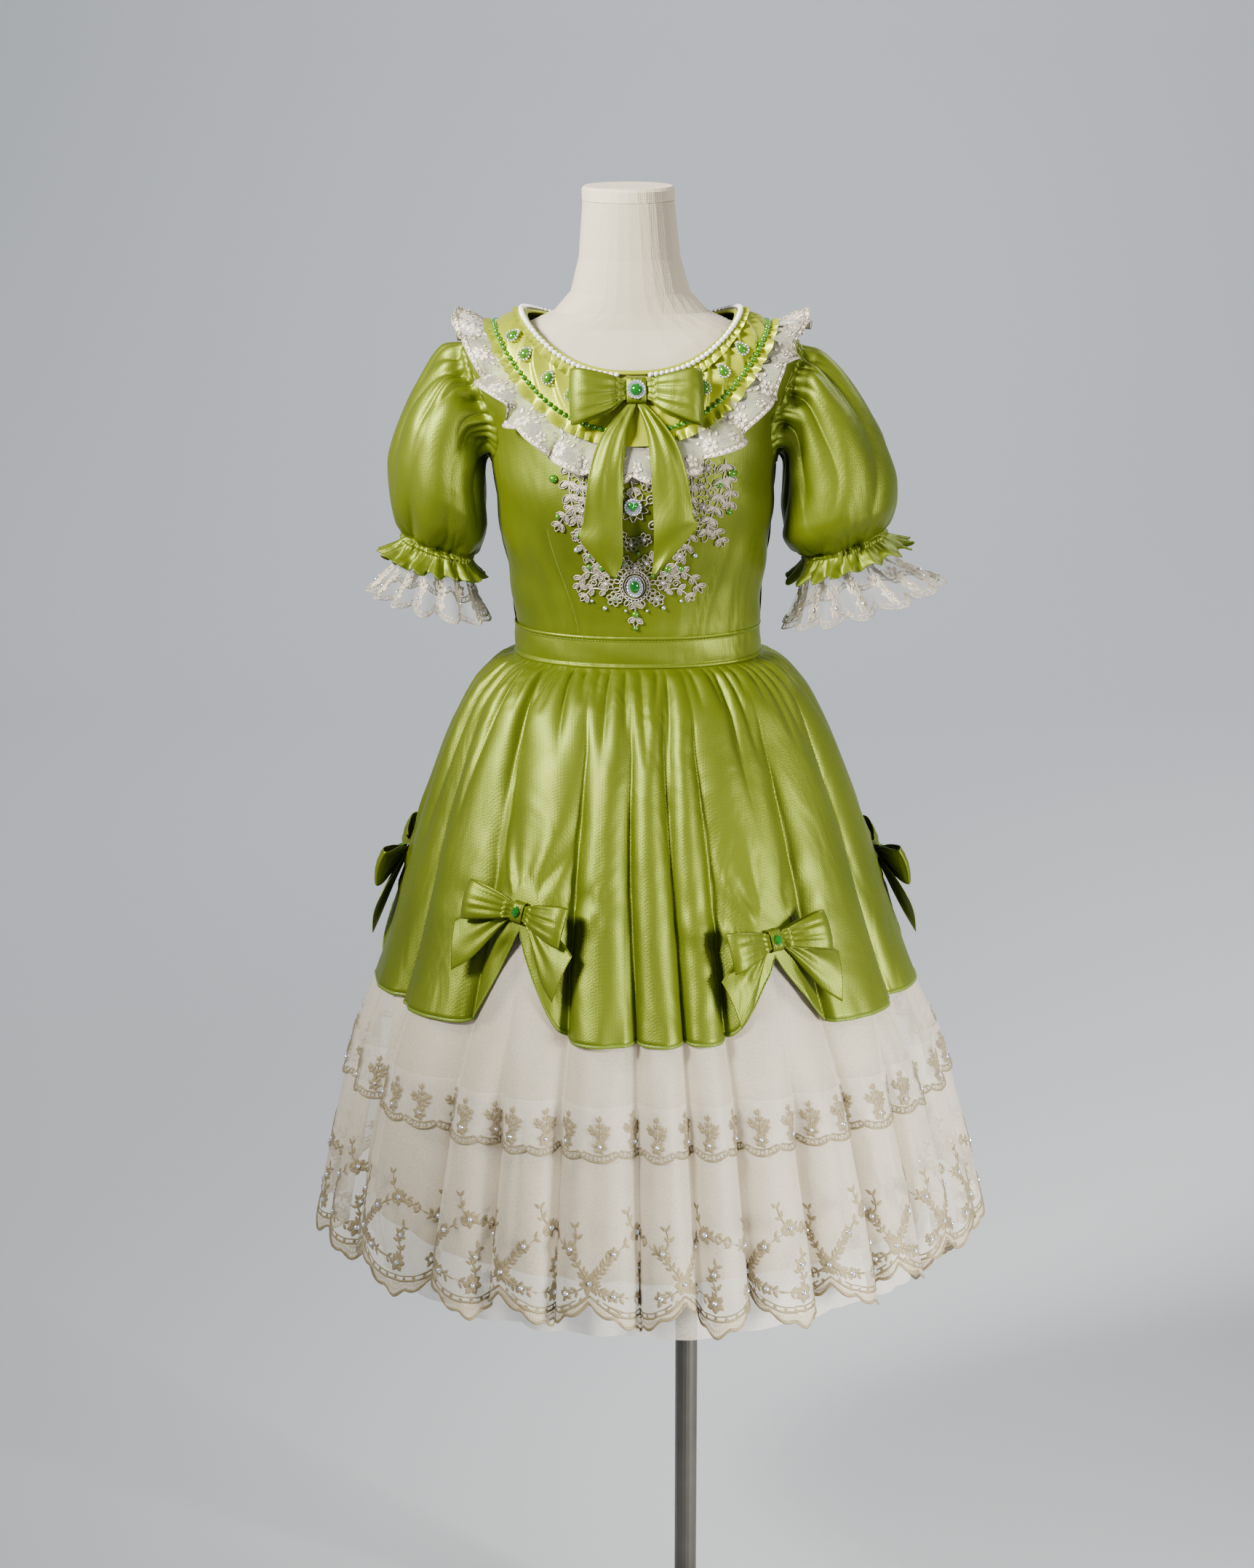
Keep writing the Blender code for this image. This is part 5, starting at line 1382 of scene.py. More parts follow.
def make_sleeve(name, side):
    degrees = np.arange(0, 360, 1.5)
    around = np.radians(degrees)
    turn, up = armhole(around)
    middle_up = (UNDERARM_UP + SHOULDER_TIP_UP) / 2
    head = body(turn, up, BODICE_OUT + 0.0028)
    tucked = body(np.pi / 2 + (turn - np.pi / 2) * 1.06, middle_up + (up - middle_up) * 1.06, BODICE_OUT - 0.0002)
    for ring in (head, tucked):
        ring[..., 0] *= side
    rings = np.array([head] + [sleeve_ring(side, ring, around) for ring in SLEEVES[name]])
    count = 70
    smooth = spline(rings, count)
    seed = 31 if side < 0 else 47
    station = np.linspace(0, len(rings) - 1, count)[:, None]
    middle = smooth.mean(axis=1, keepdims=True)
    radial = smooth - middle
    radial /= np.linalg.norm(radial, axis=-1, keepdims=True)
    elastic = np.exp(-(((station - ELASTIC_RING) / 0.16) ** 2))
    sway = 14 * np.sin(station * 0.75 + side) + 5 * np.sin(station * 1.7 + 2 * side)
    head_gathers = crease_list(34, seed, (0.034, 0.060, 0.110), (0.55, 0.85))
    cuff_gathers = crease_list(40, seed + 1, (0.026, 0.045, 0.080), (0.60, 0.88))
    plain = degrees[None, :] - 180
    long_folds = crease_list(9, seed + 2, (0.090, 0.130, 0.180), (0.35, 0.70))
    low_folds = crease_list(8, seed + 3, (0.070, 0.100, 0.130), (0.40, 0.75))
    inward = drawn_in(plain + sway, station * 0.034 - 0.004, long_folds) * 2.3 * (station > 0.12)
    above = ELASTIC_RING - station
    inward = inward + drawn_in(plain - sway, above * 0.030 - 0.004, low_folds) * 1.9 * (station < 6.8)
    inward = inward + drawn_in(plain, np.maximum(station, 0) * 0.034 + 0.001, head_gathers) * 0.85
    inward = inward + drawn_in(plain, np.abs(above) * 0.030 + 0.004, cuff_gathers) * 0.75 * (station < 7.6)
    inward = inward + 0.0014 * elastic
    frill_size = np.interp(station, [7.1, 7.5, 8.0], [0.0, 0.0030, 0.0062])
    frill = np.sin(SLEEVE_FRILLS * around + 1.1 * np.sin(3 * around) + side)[None, :]
    points = smooth - radial * inward[..., None] + radial * (frill_size * frill)[..., None]
    points[..., 2] -= frill_size * 0.5 * np.cos(SLEEVE_FRILLS * around + 1.0)[None, :]
    points = np.concatenate([tucked[None], points])
    points = points if side < 0 else points[:, ::-1]
    cloth = Cloth(points, True)
    node = f"sleeve_{name}"
    made = cloth.build(f"{node}_cloth", finish_of("green_satin"), SATIN, nodes=[node], slot="green_satin")
    edge = Stitches()
    lengths = cloth.row_lengths(count)
    path = np.linspace(0, lengths[-1], 300)
    edge.cord(np.stack([path, np.zeros(len(path))], -1), 0.0022, 0.0008)

    def lay(along_, down, out):
        return cloth.sample(np.interp(along_, lengths, np.arange(len(lengths))), count - 0.3 + down * 190, out)

    edge.build(f"sleeve_{name}_rolled_edge", lay, finish_of("green_edge"))


def make_cuff_lace(name, side):
    columns = 480
    around = np.arange(columns) * 2 * np.pi / columns
    rings = np.array([sleeve_ring(side, ring, around) for ring in CUFF_LACE[name]])
    count = 26
    smooth = spline(rings, count)
    station = np.linspace(0, 1, count)
    middle = smooth.mean(axis=1, keepdims=True)
    radial = smooth - middle
    radial /= np.linalg.norm(radial, axis=-1, keepdims=True)
    wave = np.sin(CUFF_FOLDS * around + 0.9 * np.sin(2 * around + side))
    size = np.interp(station, [0, 0.3, 1.0], [0.0, 0.0020, 0.0075])
    points = smooth + radial * (size[:, None] * wave[None, :])[..., None]
    _, share = edge_shares(points[-1])
    scallop = 1 - CUFF_SCALLOP * scallop_rise(share, CUFF_REPEATS)
    station_rows = station[:, None] * np.where(station[:, None] > 0, scallop[None, :], 1)
    source = Cloth(points, True)
    flat_columns = np.tile(np.arange(columns, dtype=float), count)
    points = source.sample(flat_columns, (station_rows * (count - 1)).ravel(), np.zeros(count * columns))
    points = points.reshape(count, columns, 3)
    cloth = Cloth(points[:, ::-1] if side > 0 else points, True)
    lengths = cloth.row_lengths(count - 1)
    total = lengths[-1]
    made = cloth.build(f"cuff_lace_{name}_cloth", sheer_of("cuff_net"), nodes=[f"cuff_lace_{name}"], slot="lace")
    threads, stones = Stitches(), Stitches()
    ring_edge(CUFF_REPEATS, total / CUFF_REPEATS, threads, stones, CUFF_LACE_DROP, 0.0, 0.0095)

    def lay(along_, down, out):
        where = np.interp(along_ % total, lengths, np.arange(len(lengths)))
        return cloth.sample(where, np.clip(down / CUFF_LACE_DROP, 0, 1) * (count - 1), out + 0.0002)

    threads.build(f"cuff_lace_{name}_embroidery", lay, finish_of("silver_thread"))
    stones.build(f"cuff_lace_{name}_stones", lay, finish_of("crystal"))


def make_collar():
    around = np.linspace(-np.pi + COLLAR_SLIT, np.pi - COLLAR_SLIT, 721)
    clear = smooth_step(0.16, 0.28, np.abs(around))
    shares = np.concatenate([np.linspace(0, 1, 22), np.linspace(1, 1.27, 7)[1:]])
    waver = drift(np.degrees(around), 41, 9)
    rows = []
    for share in shares:
        phase = (around + np.sign(around) * 0.30 * share + 0.035 * waver) * YOKE_PLEATS / (2 * np.pi)
        part = phase * np.sign(around) % 1
        pleat = np.where(part < 0.86, (part / 0.86) ** 1.4, (1 - part) / 0.14)
        lift = 0.0052 * pleat * clear * (0.75 + 0.25 * waver) * np.sin(np.pi * min(share, 1.0) * 0.94 + 0.1) ** 0.6
        base = float(np.interp(share, [0, 0.5, 1.0, 1.06, 1.27], [0.0012, 0.0014, 0.0012, 0.0014, 0.0062]))
        frill = float(smooth_step(1.0, 1.27, share)) * 0.0034 * np.sin(62 * around + 3 * waver) * clear
        rows.append(yoke_point(around, share, YOKE_OUT + base + lift + frill))
    satin = finish_of("yoke_satin")
    made = Cloth(rows, False).build("collar_yoke_cloth", satin, nodes=["collar_yoke"], slot="green_satin")
    rows = []
    for part in np.linspace(0, 1, 8):
        wave = 0.0030 * np.sin(76 * around + 3 * waver) * clear * part
        rows.append(yoke_point(around, 0.04 + 0.23 * part, YOKE_OUT + 0.0032 + 0.0036 * part + wave))
    made = Cloth(rows, False).build("neck_ruffle_cloth", satin, slot="green_satin")
    ring = np.linspace(0, 2 * np.pi, 361)[:-1] - np.pi
    rows = []
    for share, out in ((-0.03, 0.0040), (-0.05, 0.0050), (-0.085, 0.0052), (-0.12, 0.0038), (-0.135, 0.0006)):
        rows.append(yoke_point(ring, share, BODICE_OUT + out))
    made = Cloth(rows[::-1], True).build(
        "neck_binding_cloth", satin, BINDING_THICKNESS, nodes=["neck_binding"], slot="green_satin"
    )
    pearls = Beads(8)
    for spot in ring_spots(0.0, BODICE_OUT + 0.0075, 0.0058):
        if 0.12 < abs(spot) < 3.1:
            centre, out, tall = on_yoke(spot, 0.0, BODICE_OUT + 0.0075)
            pearls.add(centre, out, 0.0029, 0.0044, 1.0, tall)
    pearls.build("neck_pearls", finish_of("pearl"))
    chain = Beads(6)
    for spot in ring_spots(0.98, YOKE_OUT + 0.0024, 0.0066):
        if 0.15 < abs(spot) < 3.1:
            centre, out, tall = on_yoke(spot, 0.98, YOKE_OUT + 0.0024)
            chain.add(centre, out, 0.0031, 0.0034, 1.0, tall)
    chain.build("yoke_stone_chain", finish_of("leaf_stone"))
    drops, rims = Beads(10, 0.35), Beads(5)
    for spot in YOKE_DROPS:
        centre, out, tall = on_yoke(spot, YOKE_DROP_SHARE, YOKE_OUT + 0.0060)
        drops.add(centre, out, 0.0042, 0.0034, 1.4, tall)
        out = out / np.linalg.norm(out)
        side = np.cross(tall, out)
        side /= np.linalg.norm(side)
        rise = np.cross(out, side)
        for a in np.arange(14) * 2 * np.pi / 14:
            x = 0.0056 * math.cos(a) * (1 - 0.35 * math.sin(a))
            rims.add(centre + side * x + rise * 0.0074 * math.sin(a), out, 0.0014, 0.0020, 1.0, tall)
    drops.build("yoke_drop_stones", finish_of("leaf_stone"))
    rims.build("yoke_drop_rims", finish_of("crystal"))


def make_collar_lace():
    around = np.linspace(-np.pi + COLLAR_SLIT, np.pi - COLLAR_SLIT, 1001)
    waver = drift(np.degrees(around), 51, 6)
    phase = COLLAR_FOLDS * around + 1.1 * np.sin(3 * around) + 0.7 * waver
    wave = np.sin(phase) * 0.5 + 0.5
    ahead = np.cos(around)
    hidden = np.clip((np.abs(around) - 0.10) / 0.45, 0.15, 1)
    start = yoke_point(around, 1.1, BODICE_OUT + 0.0030)
    centre = np.where(ahead > 0, LACE_EDGE.front_up, LACE_EDGE.back_up)
    up = centre + (LACE_EDGE_RIDGE_UP - centre) * np.abs(np.sin(around)) ** 2.5
    y = np.where(ahead > 0, LACE_EDGE_FRONT_Y, LACE_EDGE_BACK_Y) * np.abs(ahead) ** 1.45
    edge = np.stack([LACE_EDGE.half_width * np.sin(around), y, up], axis=-1)
    across = np.stack([-np.cos(around), -np.sin(around), np.zeros(len(around))], axis=-1)
    proud = np.cross(edge - start, across)
    proud /= np.linalg.norm(proud, axis=-1, keepdims=True)
    proud *= np.sign((proud * np.stack([np.sin(around), -ahead, 0.6 + 0 * around], axis=-1)).sum(-1))[:, None]
    lengths = np.concatenate([[0], np.cumsum(np.linalg.norm(np.diff(edge, axis=0), axis=1))])
    count = 22
    scallop = 1 - COLLAR_SCALLOP * scallop_rise(lengths / lengths[-1], COLLAR_REPEATS)
    rows = []
    for part in np.linspace(0, 1, count):
        reach = (part * (1 + (scallop - 1) * part))[:, None]
        flare = 0.0035 * math.sin(math.pi * part) + (0.0165 * part**1.2 * wave + 0.0020 * part * (1 + waver)) * hidden
        sway = 0.0105 * part * np.cos(phase) * hidden
        rows.append(start + (edge - start) * reach + proud * flare[:, None] + across * sway[:, None])
    cloth = Cloth(rows, False)
    filled = np.linspace(0, 1, count)[:, None] * np.ones(len(around))[None, :]
    filled = 0.12 * smooth_step(0.20, 0.50, filled)
    made = cloth.build("collar_lace_cloth", sheer_of("lace_net"), filled=filled, nodes=["collar_lace"], slot="lace")
    lengths = cloth.row_lengths(count - 1)
    threads, fills, stones = Stitches(), Stitches(), Stitches()
    rose_edge(COLLAR_REPEATS, lengths[-1] / COLLAR_REPEATS, threads, fills, stones, COLLAR_LACE_DROP)

    def lay(along_, down, out):
        where = np.interp(along_, lengths, np.arange(len(lengths)))
        return cloth.sample(where, np.clip(down / COLLAR_LACE_DROP, 0, 1) * (count - 1), out + 0.0002)

    fills.build("collar_lace_filling", lay, finish_of("white_thread"))
    threads.build("collar_lace_embroidery", lay, finish_of("silver_thread"))
    stones.build("collar_lace_stones", lay, finish_of("crystal"))


def rose_edge(repeats, period, cords, fills, stones, drop):
    """A lace edge of ringed scallops with a round flower of looped petals in each, and leaves between."""
    for k in range(repeats):
        left, middle = k * period, (k + 0.5) * period
        share = np.linspace(0, 1, 13)
        fills.cord(np.stack([left + share * period, np.full(13, drop - 0.0044)], -1), 0.0074, 0.0003)
        for inset, width in ((0.0010, 0.0022), (0.0080, 0.0016)):
            cords.cord(np.stack([left + share * period, np.full(13, drop - inset)], -1), width, 0.0014)
        for spot in np.linspace(0.07, 0.93, 8):
            cords.ring((left + spot * period, drop - 0.0046), 0.0024, 0.0011, 0.0014)
        bloom = (middle, drop - 0.0190)
        fills.flower(bloom, 0.0126, 7, 0.2 + k, 0.0007)
        cords.rose(bloom, 0.0114, 7, 0.2 + k)
        stones.dome(bloom, 0.0024, 0.0030, 6)
        fills.flower((left + 0.001, drop - 0.0165), 0.0086, 5, 0.7 * k, 0.0007)
        cords.rose((left + 0.001, drop - 0.0165), 0.0076, 5, 0.7 * k)
        for side in (-1, 1):
            for rise, spread in ((0.030, 0.004), (0.037, 0.010), (0.027, 0.014)):
                spot, way = (middle + side * spread, drop - rise), -math.pi / 2 + side * 0.9
                fills.leaf(spot, way, 0.0082, 0.0044, 0.0007)
                cords.petal(spot, way, 0.0086, 0.0050, 0.0012)


def ribbon(node, points, closed):
    """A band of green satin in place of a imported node."""
    return Cloth(points, closed).build(
        f"{node}_cloth", finish_of("green_satin"), RIBBON_THICKNESS, nodes=[node], slot="green_satin"
    )


def ribbon_loops(node, place_frame, half, seed):
    """Both loops of a bow as one band of cloth, pinched in the middle and creased from the knot."""
    path = half[::-1] + [spot._replace(across=-spot.across) for spot in half]
    table = spline([list(spot) for spot in path], 128, closed=True)
    across, out, half_height, lean = table.T
    reach = np.abs(across) / np.abs(across).max()
    front = np.where(out > 0.5 * (out.max() + out.min()), 1.0, -1.0)
    rows = []
    for v in np.linspace(1, -1, 19):
        way = 6.0 * v + seed + 1.5 * np.sign(across)
        crease = 0.0022 * (1 - np.abs(np.sin(way)) ** 0.6) + 0.0012 * (1 - np.abs(np.sin(1.7 * way + seed)) ** 0.6)
        fade = smooth_step(0.10, 0.24, reach) * (1 - smooth_step(0.55, 1.0, reach))
        swell = 0.0030 * (1 - v * v) * smooth_step(0.15, 0.7, reach) * (front > 0)
        rows.append(np.stack([
            across * (1 - 0.02 * v * v), lean + v * half_height, out - front * crease * fade + swell,
        ], -1))
    points = in_frame(place_frame, rows)
    made = ribbon(node, points, True)


def ribbon_knot(node, place_frame, half_width, half_height, front):
    """A bow's knot: a short pleated band once round its middle."""
    ring = [
        (-0.95, 0.0004), (0.95, 0.0004), (1.1, 0.0050), (0.85, front - 0.0012), (0.0, front),
        (-0.85, front - 0.0012), (-1.1, 0.0050),
    ]
    table = spline(ring, 44, closed=True)
    rows = []
    for v in np.linspace(1, -1, 13):
        pleat = 0.0006 * np.cos(v * 11) - 0.0010 * v * v
        height = table[:, 0] * half_height * (1 + 0.04 * v * v)
        rows.append(np.stack([np.full(44, v * half_width), height, table[:, 1] + pleat * (table[:, 1] > 0.004)], -1))
    made = ribbon(node, in_frame(place_frame, rows), True)


def make_skirt_bows():
    for number, bow in enumerate(SKIRT_BOWS):
        turn = math.radians(bow.turn)
        seat = skirt_point(np.array([float(bow.turn)]), bow.up, 0.0)[0]
        place_frame = ribbon_frame(seat, turn, SKIRT_SLOPE, math.radians(bow.roll))
        ribbon_loops(f"bow_{bow.name}_loops", place_frame, SKIRT_BOW_LOOP, number + 1)
        columns = []
        for side in (-1, 1):
            tail = [
                ((0.0620 * side, -0.0790, 0.0050), (0.0720 * side, -0.0270, 0.0045)),
                ((0.042 * side, -0.060, 0.0045), (0.054 * side, -0.014, 0.0040)),
                ((0.018 * side, -0.022, 0.0031), (0.022 * side, -0.002, 0.0031)),
                ((0.006 * side, -0.0065, 0.0031), (0.006 * side, 0.0045, 0.0031)),
            ]
            columns += tail if side < 0 else tail[::-1]
        low = spline([pair[0] for pair in columns], 80)
        high = spline([pair[1] for pair in columns], 80)
        reach = np.abs(np.linspace(-1, 1, 80))
        rows = []
        for v in np.linspace(0, 1, 17):
            line = high + (low - high) * v
            line[:, 2] += 0.0034 * math.sin(math.pi * v) * smooth_step(0.1, 0.6, reach)
            fade = 1 - smooth_step(0.5, 0.95, reach)
            line[:, 2] += 0.0012 * np.cos(14 * v + number) * smooth_step(0.1, 0.3, reach) * fade
            rows.append(line)
        made = ribbon(f"bow_{bow.name}_tails", in_frame(place_frame, rows), False)
        ribbon_knot(f"bow_{bow.name}_knot", place_frame, 0.0065, 0.0100, 0.0110)
        refinish(f"bow_{bow.name}_gem", "emerald")


def make_neck_bow():
    seat = front_point(NECK_BOW_X, NECK_BOW_UP, YOKE_OUT + 0.0012 + 0.0019)
    place_frame = ribbon_frame(seat, 0.0, NECK_BOW_SLOPE)
    ribbon_loops("neck_bow_loops", place_frame, NECK_BOW_LOOP, 2.2)
    ribbon_knot("neck_bow_knot", place_frame, 0.0100, 0.0125, 0.0116)
    for side, rows in NECK_TAILS.items():
        way = -1 if side == "left" else 1
        points = [in_frame(place_frame, [(way * 0.0050 + share * 0.0042, -0.0142, 0.0062) for share in (-1, 0, 1)])]
        for row in rows:
            skew = 0.010 if row is rows[-2] else 0.0
            points.append([
                (row.middle_x + share * row.half_width, -row.out_y - proud, row.up + skew * share * way)
                for share, proud in ((-1, 0.0), (0, 0.003), (1, 0.0))
            ])
        fine = spline(spline(np.array(points, float), 80).transpose(1, 0, 2), 25).transpose(1, 0, 2)
        v = np.linspace(0, 1, 80)[:, None]
        u = np.linspace(-1, 1, 25)[None, :]
        fine[..., 1] += 0.0013 * np.cos(7 * u + way) * (1 - smooth_step(0.2, 0.7, v)) * smooth_step(0.02, 0.12, v)
        fine[..., 1] += 0.0012 * np.sin(16 * v + 2 * u + way) * smooth_step(0.2, 0.5, v)
        made = ribbon(f"neck_bow_tail_{side}", fine, False)
    brooch(place_frame, "neck_brooch", 0.0116, 0.0068, 1.0)


def brooch(place_frame, node, lift, stone, stretch, heart=False):
    """A stone in a ring of small crystals on a silver back."""
    gems, rims = Stitches(), Stitches()
    gems.dome((0, 0), stone, stone * 0.75, 16 if heart else 10, stretch, heart)
    for a in np.linspace(0, 2 * np.pi, 19)[:-1]:
        rims.dome(((stone + 0.0021) * math.cos(a), (stone * stretch + 0.0021) * math.sin(a)), 0.0013, 0.0019, 6)
    rims.dome((0, 0), stone + 0.0030, 0.0009, 18, stretch)

    def lay(along_, down, height):
        return in_frame(place_frame, np.stack([along_, down, height + lift], -1))

    gems.build(f"{node}_stone", lay, finish_of("emerald"), nodes=[node])
    rims.build(f"{node}_rim", lay, finish_of("crystal"))


def make_applique():
    """Corded lace sprays, flowers and stones down the bodice's front."""
    threads, greens, clears = Stitches(), Stitches(), Stitches()

    def spray(points, leaf, count):
        path = spline(points, 24)
        threads.cord(path, 0.0016, 0.0013)
        ahead = np.gradient(path, axis=0)
        for number, step in enumerate(np.linspace(2, 22, count).astype(int)):
            angle = math.atan2(ahead[step, 1], ahead[step, 0])
            for way, size in ((1, 1.0), (-1, 0.92)):
                lift = angle + way * (0.85 + 0.12 * math.sin(number * 2.3 + way))
                threads.petal(path[step], lift, leaf * size, leaf * 0.56, 0.0013)
                threads.leaf(path[step], lift, leaf * size * 0.86, leaf * 0.34, 0.0008)
        last = math.atan2(*(ahead[-1][::-1]))
        threads.petal(path[-1], last, leaf, leaf * 0.5, 0.0013)

    def scroll(x, up, radius, way):
        a = np.linspace(0, 1.4 * 2 * np.pi, 18)
        size = radius * (1 - a / a[-1] * 0.75)
        threads.cord(np.stack([x + way * size * np.cos(a), up + size * np.sin(a)], -1), 0.0014, 0.0013)

    for points, leaf, count in (
        ([(0.0930, 0.222), (0.0900, 0.202), (0.0840, 0.182), (0.0770, 0.166), (0.0720, 0.150)], 0.0130, 6),
        ([(0.0930, 0.205), (0.0960, 0.190), (0.0950, 0.178)], 0.0105, 3),
        ([(0.0720, 0.158), (0.0800, 0.150), (0.0850, 0.140)], 0.0100, 3),
        ([(-0.0640, 0.222), (-0.0660, 0.202), (-0.0640, 0.184), (-0.0600, 0.168), (-0.0560, 0.152)], 0.0130, 6),
        ([(-0.0620, 0.176), (-0.0700, 0.168), (-0.0760, 0.158)], 0.0100, 3),
        ([(0.0560, 0.214), (0.0580, 0.196), (0.0560, 0.178), (0.0540, 0.160)], 0.0095, 5),
        ([(-0.0500, 0.214), (-0.0520, 0.196), (-0.0500, 0.178), (-0.0480, 0.160)], 0.0095, 5),
        ([(-0.0020, 0.222), (-0.0040, 0.208), (-0.0020, 0.196)], 0.0100, 3),
        ([(0.0560, 0.150), (0.0520, 0.134), (0.0420, 0.118), (0.0320, 0.104)], 0.0098, 5),
        ([(-0.0560, 0.150), (-0.0540, 0.134), (-0.0450, 0.118), (-0.0340, 0.104)], 0.0098, 5),
        ([(0.0340, 0.102), (0.0460, 0.106), (0.0560, 0.100), (0.0620, 0.090)], 0.0092, 4),
        ([(-0.0360, 0.102), (-0.0480, 0.106), (-0.0560, 0.100), (-0.0580, 0.092)], 0.0092, 4),
        ([(0.0280, 0.086), (0.0420, 0.088), (0.0520, 0.080)], 0.0085, 3),
        ([(-0.0300, 0.086), (-0.0440, 0.088), (-0.0520, 0.080)], 0.0085, 3),
        ([(0.0140, 0.122), (0.0240, 0.128), (0.0300, 0.138)], 0.0080, 3),
        ([(-0.0180, 0.122), (-0.0280, 0.128), (-0.0330, 0.138)], 0.0080, 3),
        ([(-0.0020, 0.074), (-0.0020, 0.066), (-0.0020, 0.056)], 0.0100, 2),
    ):
        spray(points, leaf, count)
    blooms = [
        (-0.013, 0.1175, 0.0092), (0.010, 0.1175, 0.0092), (-0.031, 0.094, 0.0088), (0.027, 0.095, 0.0088),
        (-0.023, 0.077, 0.0084), (0.020, 0.077, 0.0084), (-0.005, 0.138, 0.0086), (0.009, 0.143, 0.0078),
        (-0.016, 0.147, 0.0076), (0.066, 0.196, 0.0108), (-0.056, 0.194, 0.0100), (0.044, 0.124, 0.0072),
        (-0.047, 0.124, 0.0072), (0.068, 0.176, 0.0090), (-0.052, 0.172, 0.0086), (0.060, 0.158, 0.0080),
        (-0.058, 0.146, 0.0078), (0.074, 0.214, 0.0090), (-0.060, 0.213, 0.0084), (0.014, 0.200, 0.0085),
        (-0.018, 0.200, 0.0085), (-0.002, 0.1125, 0.0060),
    ]
    for number, (x, up, radius) in enumerate(blooms):
        threads.rose((x, up), radius, 6, number * 0.7)
        (greens if number % 4 == 0 else clears).dome((x, up), 0.0022, 0.0030, 6)
    threads.rose((APPLIQUE_X, HEART_UP), 0.0165, 10, 0.3)
    for k in range(14):
        angle = k * 2 * math.pi / 14 + 0.2
        base = (APPLIQUE_X + 0.0150 * math.cos(angle), MEDALLION_UP + 0.0175 * math.sin(angle))
        threads.petal(base, angle, 0.0072, 0.0048, 0.0013)
    for x, up, radius, way in (
        (0.020, 0.108, 0.0052, 1), (-0.024, 0.108, 0.0052, -1), (0.040, 0.094, 0.0044, 1), (-0.044, 0.094, 0.0044, -1),
        (0.018, 0.158, 0.0060, 1), (-0.022, 0.158, 0.0060, -1), (0.078, 0.190, 0.0052, 1), (-0.054, 0.182, 0.0046, -1),
        (0.016, 0.184, 0.0056, 1), (-0.020, 0.184, 0.0056, -1),
    ):
        scroll(x, up, radius, way)
    for radius_x, radius_y, width in ((0.0150, 0.0175, 0.0018), (0.0125, 0.0148, 0.0014), (0.0100, 0.0120, 0.0014)):
        threads.ring((APPLIQUE_X, MEDALLION_UP), radius_x, width, 0.0018, 36, radius_y / radius_x)
    for a in np.linspace(0, 2 * np.pi, 25)[:-1]:
        clears.dome((APPLIQUE_X + 0.0137 * math.cos(a), MEDALLION_UP + 0.0161 * math.sin(a)), 0.0010, 0.0026, 5)
    for x, up, radius in (
        (-0.0815, 0.203, 0.0046), (0.0990, 0.207, 0.0046), (-0.078, 0.165, 0.0030), (0.0950, 0.168, 0.0030),
        (-0.035, 0.112, 0.0034), (0.032, 0.110, 0.0038), (-0.002, 0.0445, 0.0028), (-0.021, 0.103, 0.0024),
        (0.016, 0.103, 0.0024), (-0.002, 0.0600, 0.0038), (-0.016, 0.131, 0.0028), (0.002, 0.128, 0.0024),
        (0.086, 0.196, 0.0030), (0.046, 0.110, 0.0030), (-0.048, 0.112, 0.0030),
    ):
        greens.dome((x, up), radius, radius * 0.9, 8)
    for x, up, radius in (
        (-0.060, 0.130, 0.0030), (0.060, 0.124, 0.0026), (-0.033, 0.0665, 0.0024), (0.027, 0.0670, 0.0024),
        (-0.012, 0.0640, 0.0016), (0.010, 0.0640, 0.0016), (0.045, 0.074, 0.0018), (-0.046, 0.074, 0.0018),
    ):
        clears.dome((x, up), radius, radius, 7)

    def lay(x, up, height):
        return front_point(x, up, BODICE_OUT + 0.0024 + height)

    under = ["applique_centre", "applique_left", "applique_right"]
    threads.build("applique_lace", lay, finish_of("silver_thread"), nodes=under)
    greens.build("applique_green_stones", lay, finish_of("leaf_stone"))
    clears.build("applique_clear_stones", lay, finish_of("crystal"))
    for node, up, stone, stretch in (
        ("medallion", MEDALLION_UP, 0.0056, 1.4),
        ("heart_gem", HEART_UP, 0.0062, 1.05),
    ):
        seat = front_point(APPLIQUE_X, up, BODICE_OUT + 0.0042)
        brooch(ribbon_frame(seat, 0.0, math.radians(-13)), node, 0.0006, stone, stretch, node == "heart_gem")


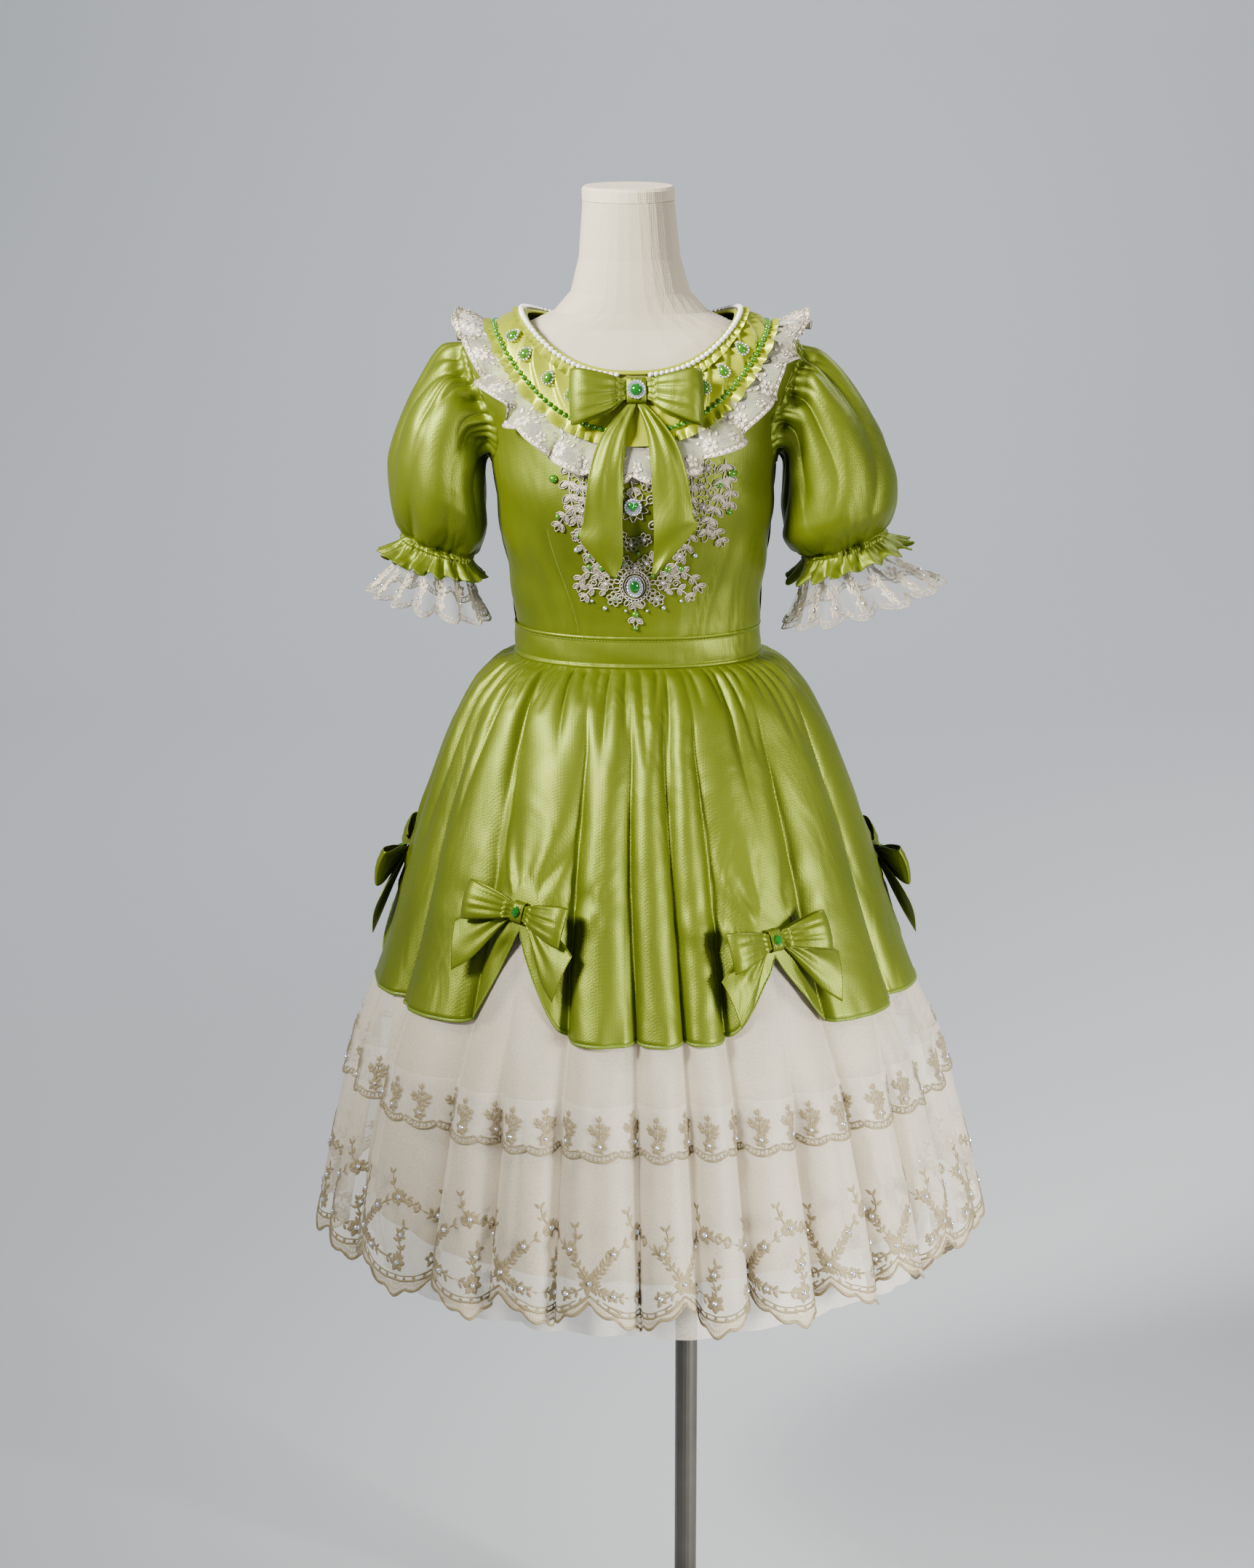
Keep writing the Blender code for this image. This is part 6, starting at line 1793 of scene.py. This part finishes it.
def make_stage():
    bpy.ops.mesh.primitive_grid_add(x_subdivisions=2, y_subdivisions=120, size=2, location=(0, 0, 0))
    floor = bpy.context.object
    floor.name = "studio_floor"
    # The paper lies flat to the form and beyond, then sweeps up behind it.
    for vertex in floor.data.vertices:
        run = (vertex.co.y + 1) / 2 * PAPER_LENGTH - PAPER_BEFORE
        bend = min(max(run - SWEEP_START, 0) / SWEEP_RADIUS, math.pi / 2)
        rest = max(run - SWEEP_START - SWEEP_RADIUS * math.pi / 2, 0)
        vertex.co.x *= 8
        vertex.co.y = min(run, SWEEP_START) + SWEEP_RADIUS * math.sin(bend)
        vertex.co.z = SWEEP_RADIUS * (1 - math.cos(bend)) + rest
    floor.data.shade_smooth()
    pale = bpy.data.materials.new("studio_floor")
    pale.use_nodes = True
    shader = pale.node_tree.nodes["Principled BSDF"]
    shader.inputs["Base Color"].default_value = (0.55, 0.57, 0.59, 1.0)
    shader.inputs["Roughness"].default_value = 0.9
    floor.data.materials.append(pale)
    world = bpy.data.worlds.new("studio")
    bpy.context.scene.world = world
    world.use_nodes = True
    sky = world.node_tree.nodes["Background"]
    sky.inputs["Color"].default_value = (0.88, 0.93, 1.0, 1.0)
    sky.inputs["Strength"].default_value = 0.36
    for lamp in LAMPS:
        data = bpy.data.lights.new(lamp.name, "AREA")
        data.energy, data.size, data.color, data.spread = lamp.power, lamp.size, lamp.colour, math.radians(lamp.spread)
        light = bpy.data.objects.new(lamp.name, data)
        bpy.context.scene.collection.objects.link(light)
        light.location = lamp.where
        light.rotation_euler = (Vector(lamp.target) - light.location).to_track_quat("-Z", "Y").to_euler()
    camera = bpy.data.cameras.new("camera")
    camera.lens, camera.sensor_width = CAMERA_LENS, CAMERA_SENSOR
    view = bpy.data.objects.new("camera", camera)
    bpy.context.scene.collection.objects.link(view)
    view.location = CAMERA_PLACE
    view.rotation_euler = (CAMERA_TILT, 0, 0)
    bpy.context.scene.camera = view


def settings_of(context):
    return context.scene.dress_settings


class DRESS_OT_form(bpy.types.Operator):
    """Finish the dress form and its stand"""

    bl_idname = "dress.form"
    bl_label = "Form and Stand"

    def execute(self, context):
        make_form()
        return {"FINISHED"}


class DRESS_OT_bodice(bpy.types.Operator):
    """Sew the bodice and its waistband"""

    bl_idname = "dress.bodice"
    bl_label = "Bodice"

    def execute(self, context):
        make_bodice()
        make_waistband()
        return {"FINISHED"}


class DRESS_OT_skirts(bpy.types.Operator):
    """Hang the green skirt, the lace skirt, its band and the lining"""

    bl_idname = "dress.skirts"
    bl_label = "Skirts"

    def execute(self, context):
        settings = settings_of(context)
        make_green_skirt(settings)
        make_lining()
        make_lace_skirt(settings)
        make_lace_band(settings)
        return {"FINISHED"}


class DRESS_OT_sleeves(bpy.types.Operator):
    """Gather the puff sleeves and their lace cuffs"""

    bl_idname = "dress.sleeves"
    bl_label = "Sleeves"

    def execute(self, context):
        for name, side in (("left", -1), ("right", 1)):
            make_sleeve(name, side)
            make_cuff_lace(name, side)
        return {"FINISHED"}


class DRESS_OT_collar(bpy.types.Operator):
    """Lay the yoke, its ruffles, pearls and lace frill"""

    bl_idname = "dress.collar"
    bl_label = "Collar"

    def execute(self, context):
        make_collar()
        make_collar_lace()
        return {"FINISHED"}


class DRESS_OT_bows(bpy.types.Operator):
    """Tie the bows and set their stones"""

    bl_idname = "dress.bows"
    bl_label = "Bows"

    def execute(self, context):
        make_neck_bow()
        make_skirt_bows()
        return {"FINISHED"}


class DRESS_OT_applique(bpy.types.Operator):
    """Sew the lace sprays and stones on the bodice"""

    bl_idname = "dress.applique"
    bl_label = "Applique"

    def execute(self, context):
        make_applique()
        return {"FINISHED"}


class DRESS_OT_stage(bpy.types.Operator):
    """Set the floor, lights and camera"""

    bl_idname = "dress.stage"
    bl_label = "Stage"

    def execute(self, context):
        make_stage()
        return {"FINISHED"}


class DRESS_PT_panel(bpy.types.Panel):
    bl_label = "Party Dress"
    bl_idname = "DRESS_PT_panel"
    bl_space_type = "VIEW_3D"
    bl_region_type = "UI"
    bl_category = "Dress"

    def draw(self, context):
        settings = settings_of(context)
        for name in ("skirt_columns", "lace_columns", "gather_depth"):
            self.layout.prop(settings, name)
        for kind in OPERATORS:
            self.layout.operator(kind.bl_idname)


OPERATORS = (
    DRESS_OT_stage, DRESS_OT_form, DRESS_OT_bodice, DRESS_OT_skirts, DRESS_OT_sleeves, DRESS_OT_collar, DRESS_OT_bows,
    DRESS_OT_applique,
)


def register():
    for kind in (DressSettings, *OPERATORS, DRESS_PT_panel):
        bpy.utils.register_class(kind)
    bpy.types.Scene.dress_settings = bpy.props.PointerProperty(type=DressSettings)


def unregister():
    del bpy.types.Scene.dress_settings
    for kind in reversed((DressSettings, *OPERATORS, DRESS_PT_panel)):
        bpy.utils.unregister_class(kind)


def main():
    register()
    bpy.ops.dress.stage()
    bpy.ops.dress.form()
    bpy.ops.dress.bodice()
    bpy.ops.dress.skirts()
    bpy.ops.dress.sleeves()
    bpy.ops.dress.collar()
    bpy.ops.dress.bows()
    bpy.ops.dress.applique()


if __name__ == "__main__":
    main()
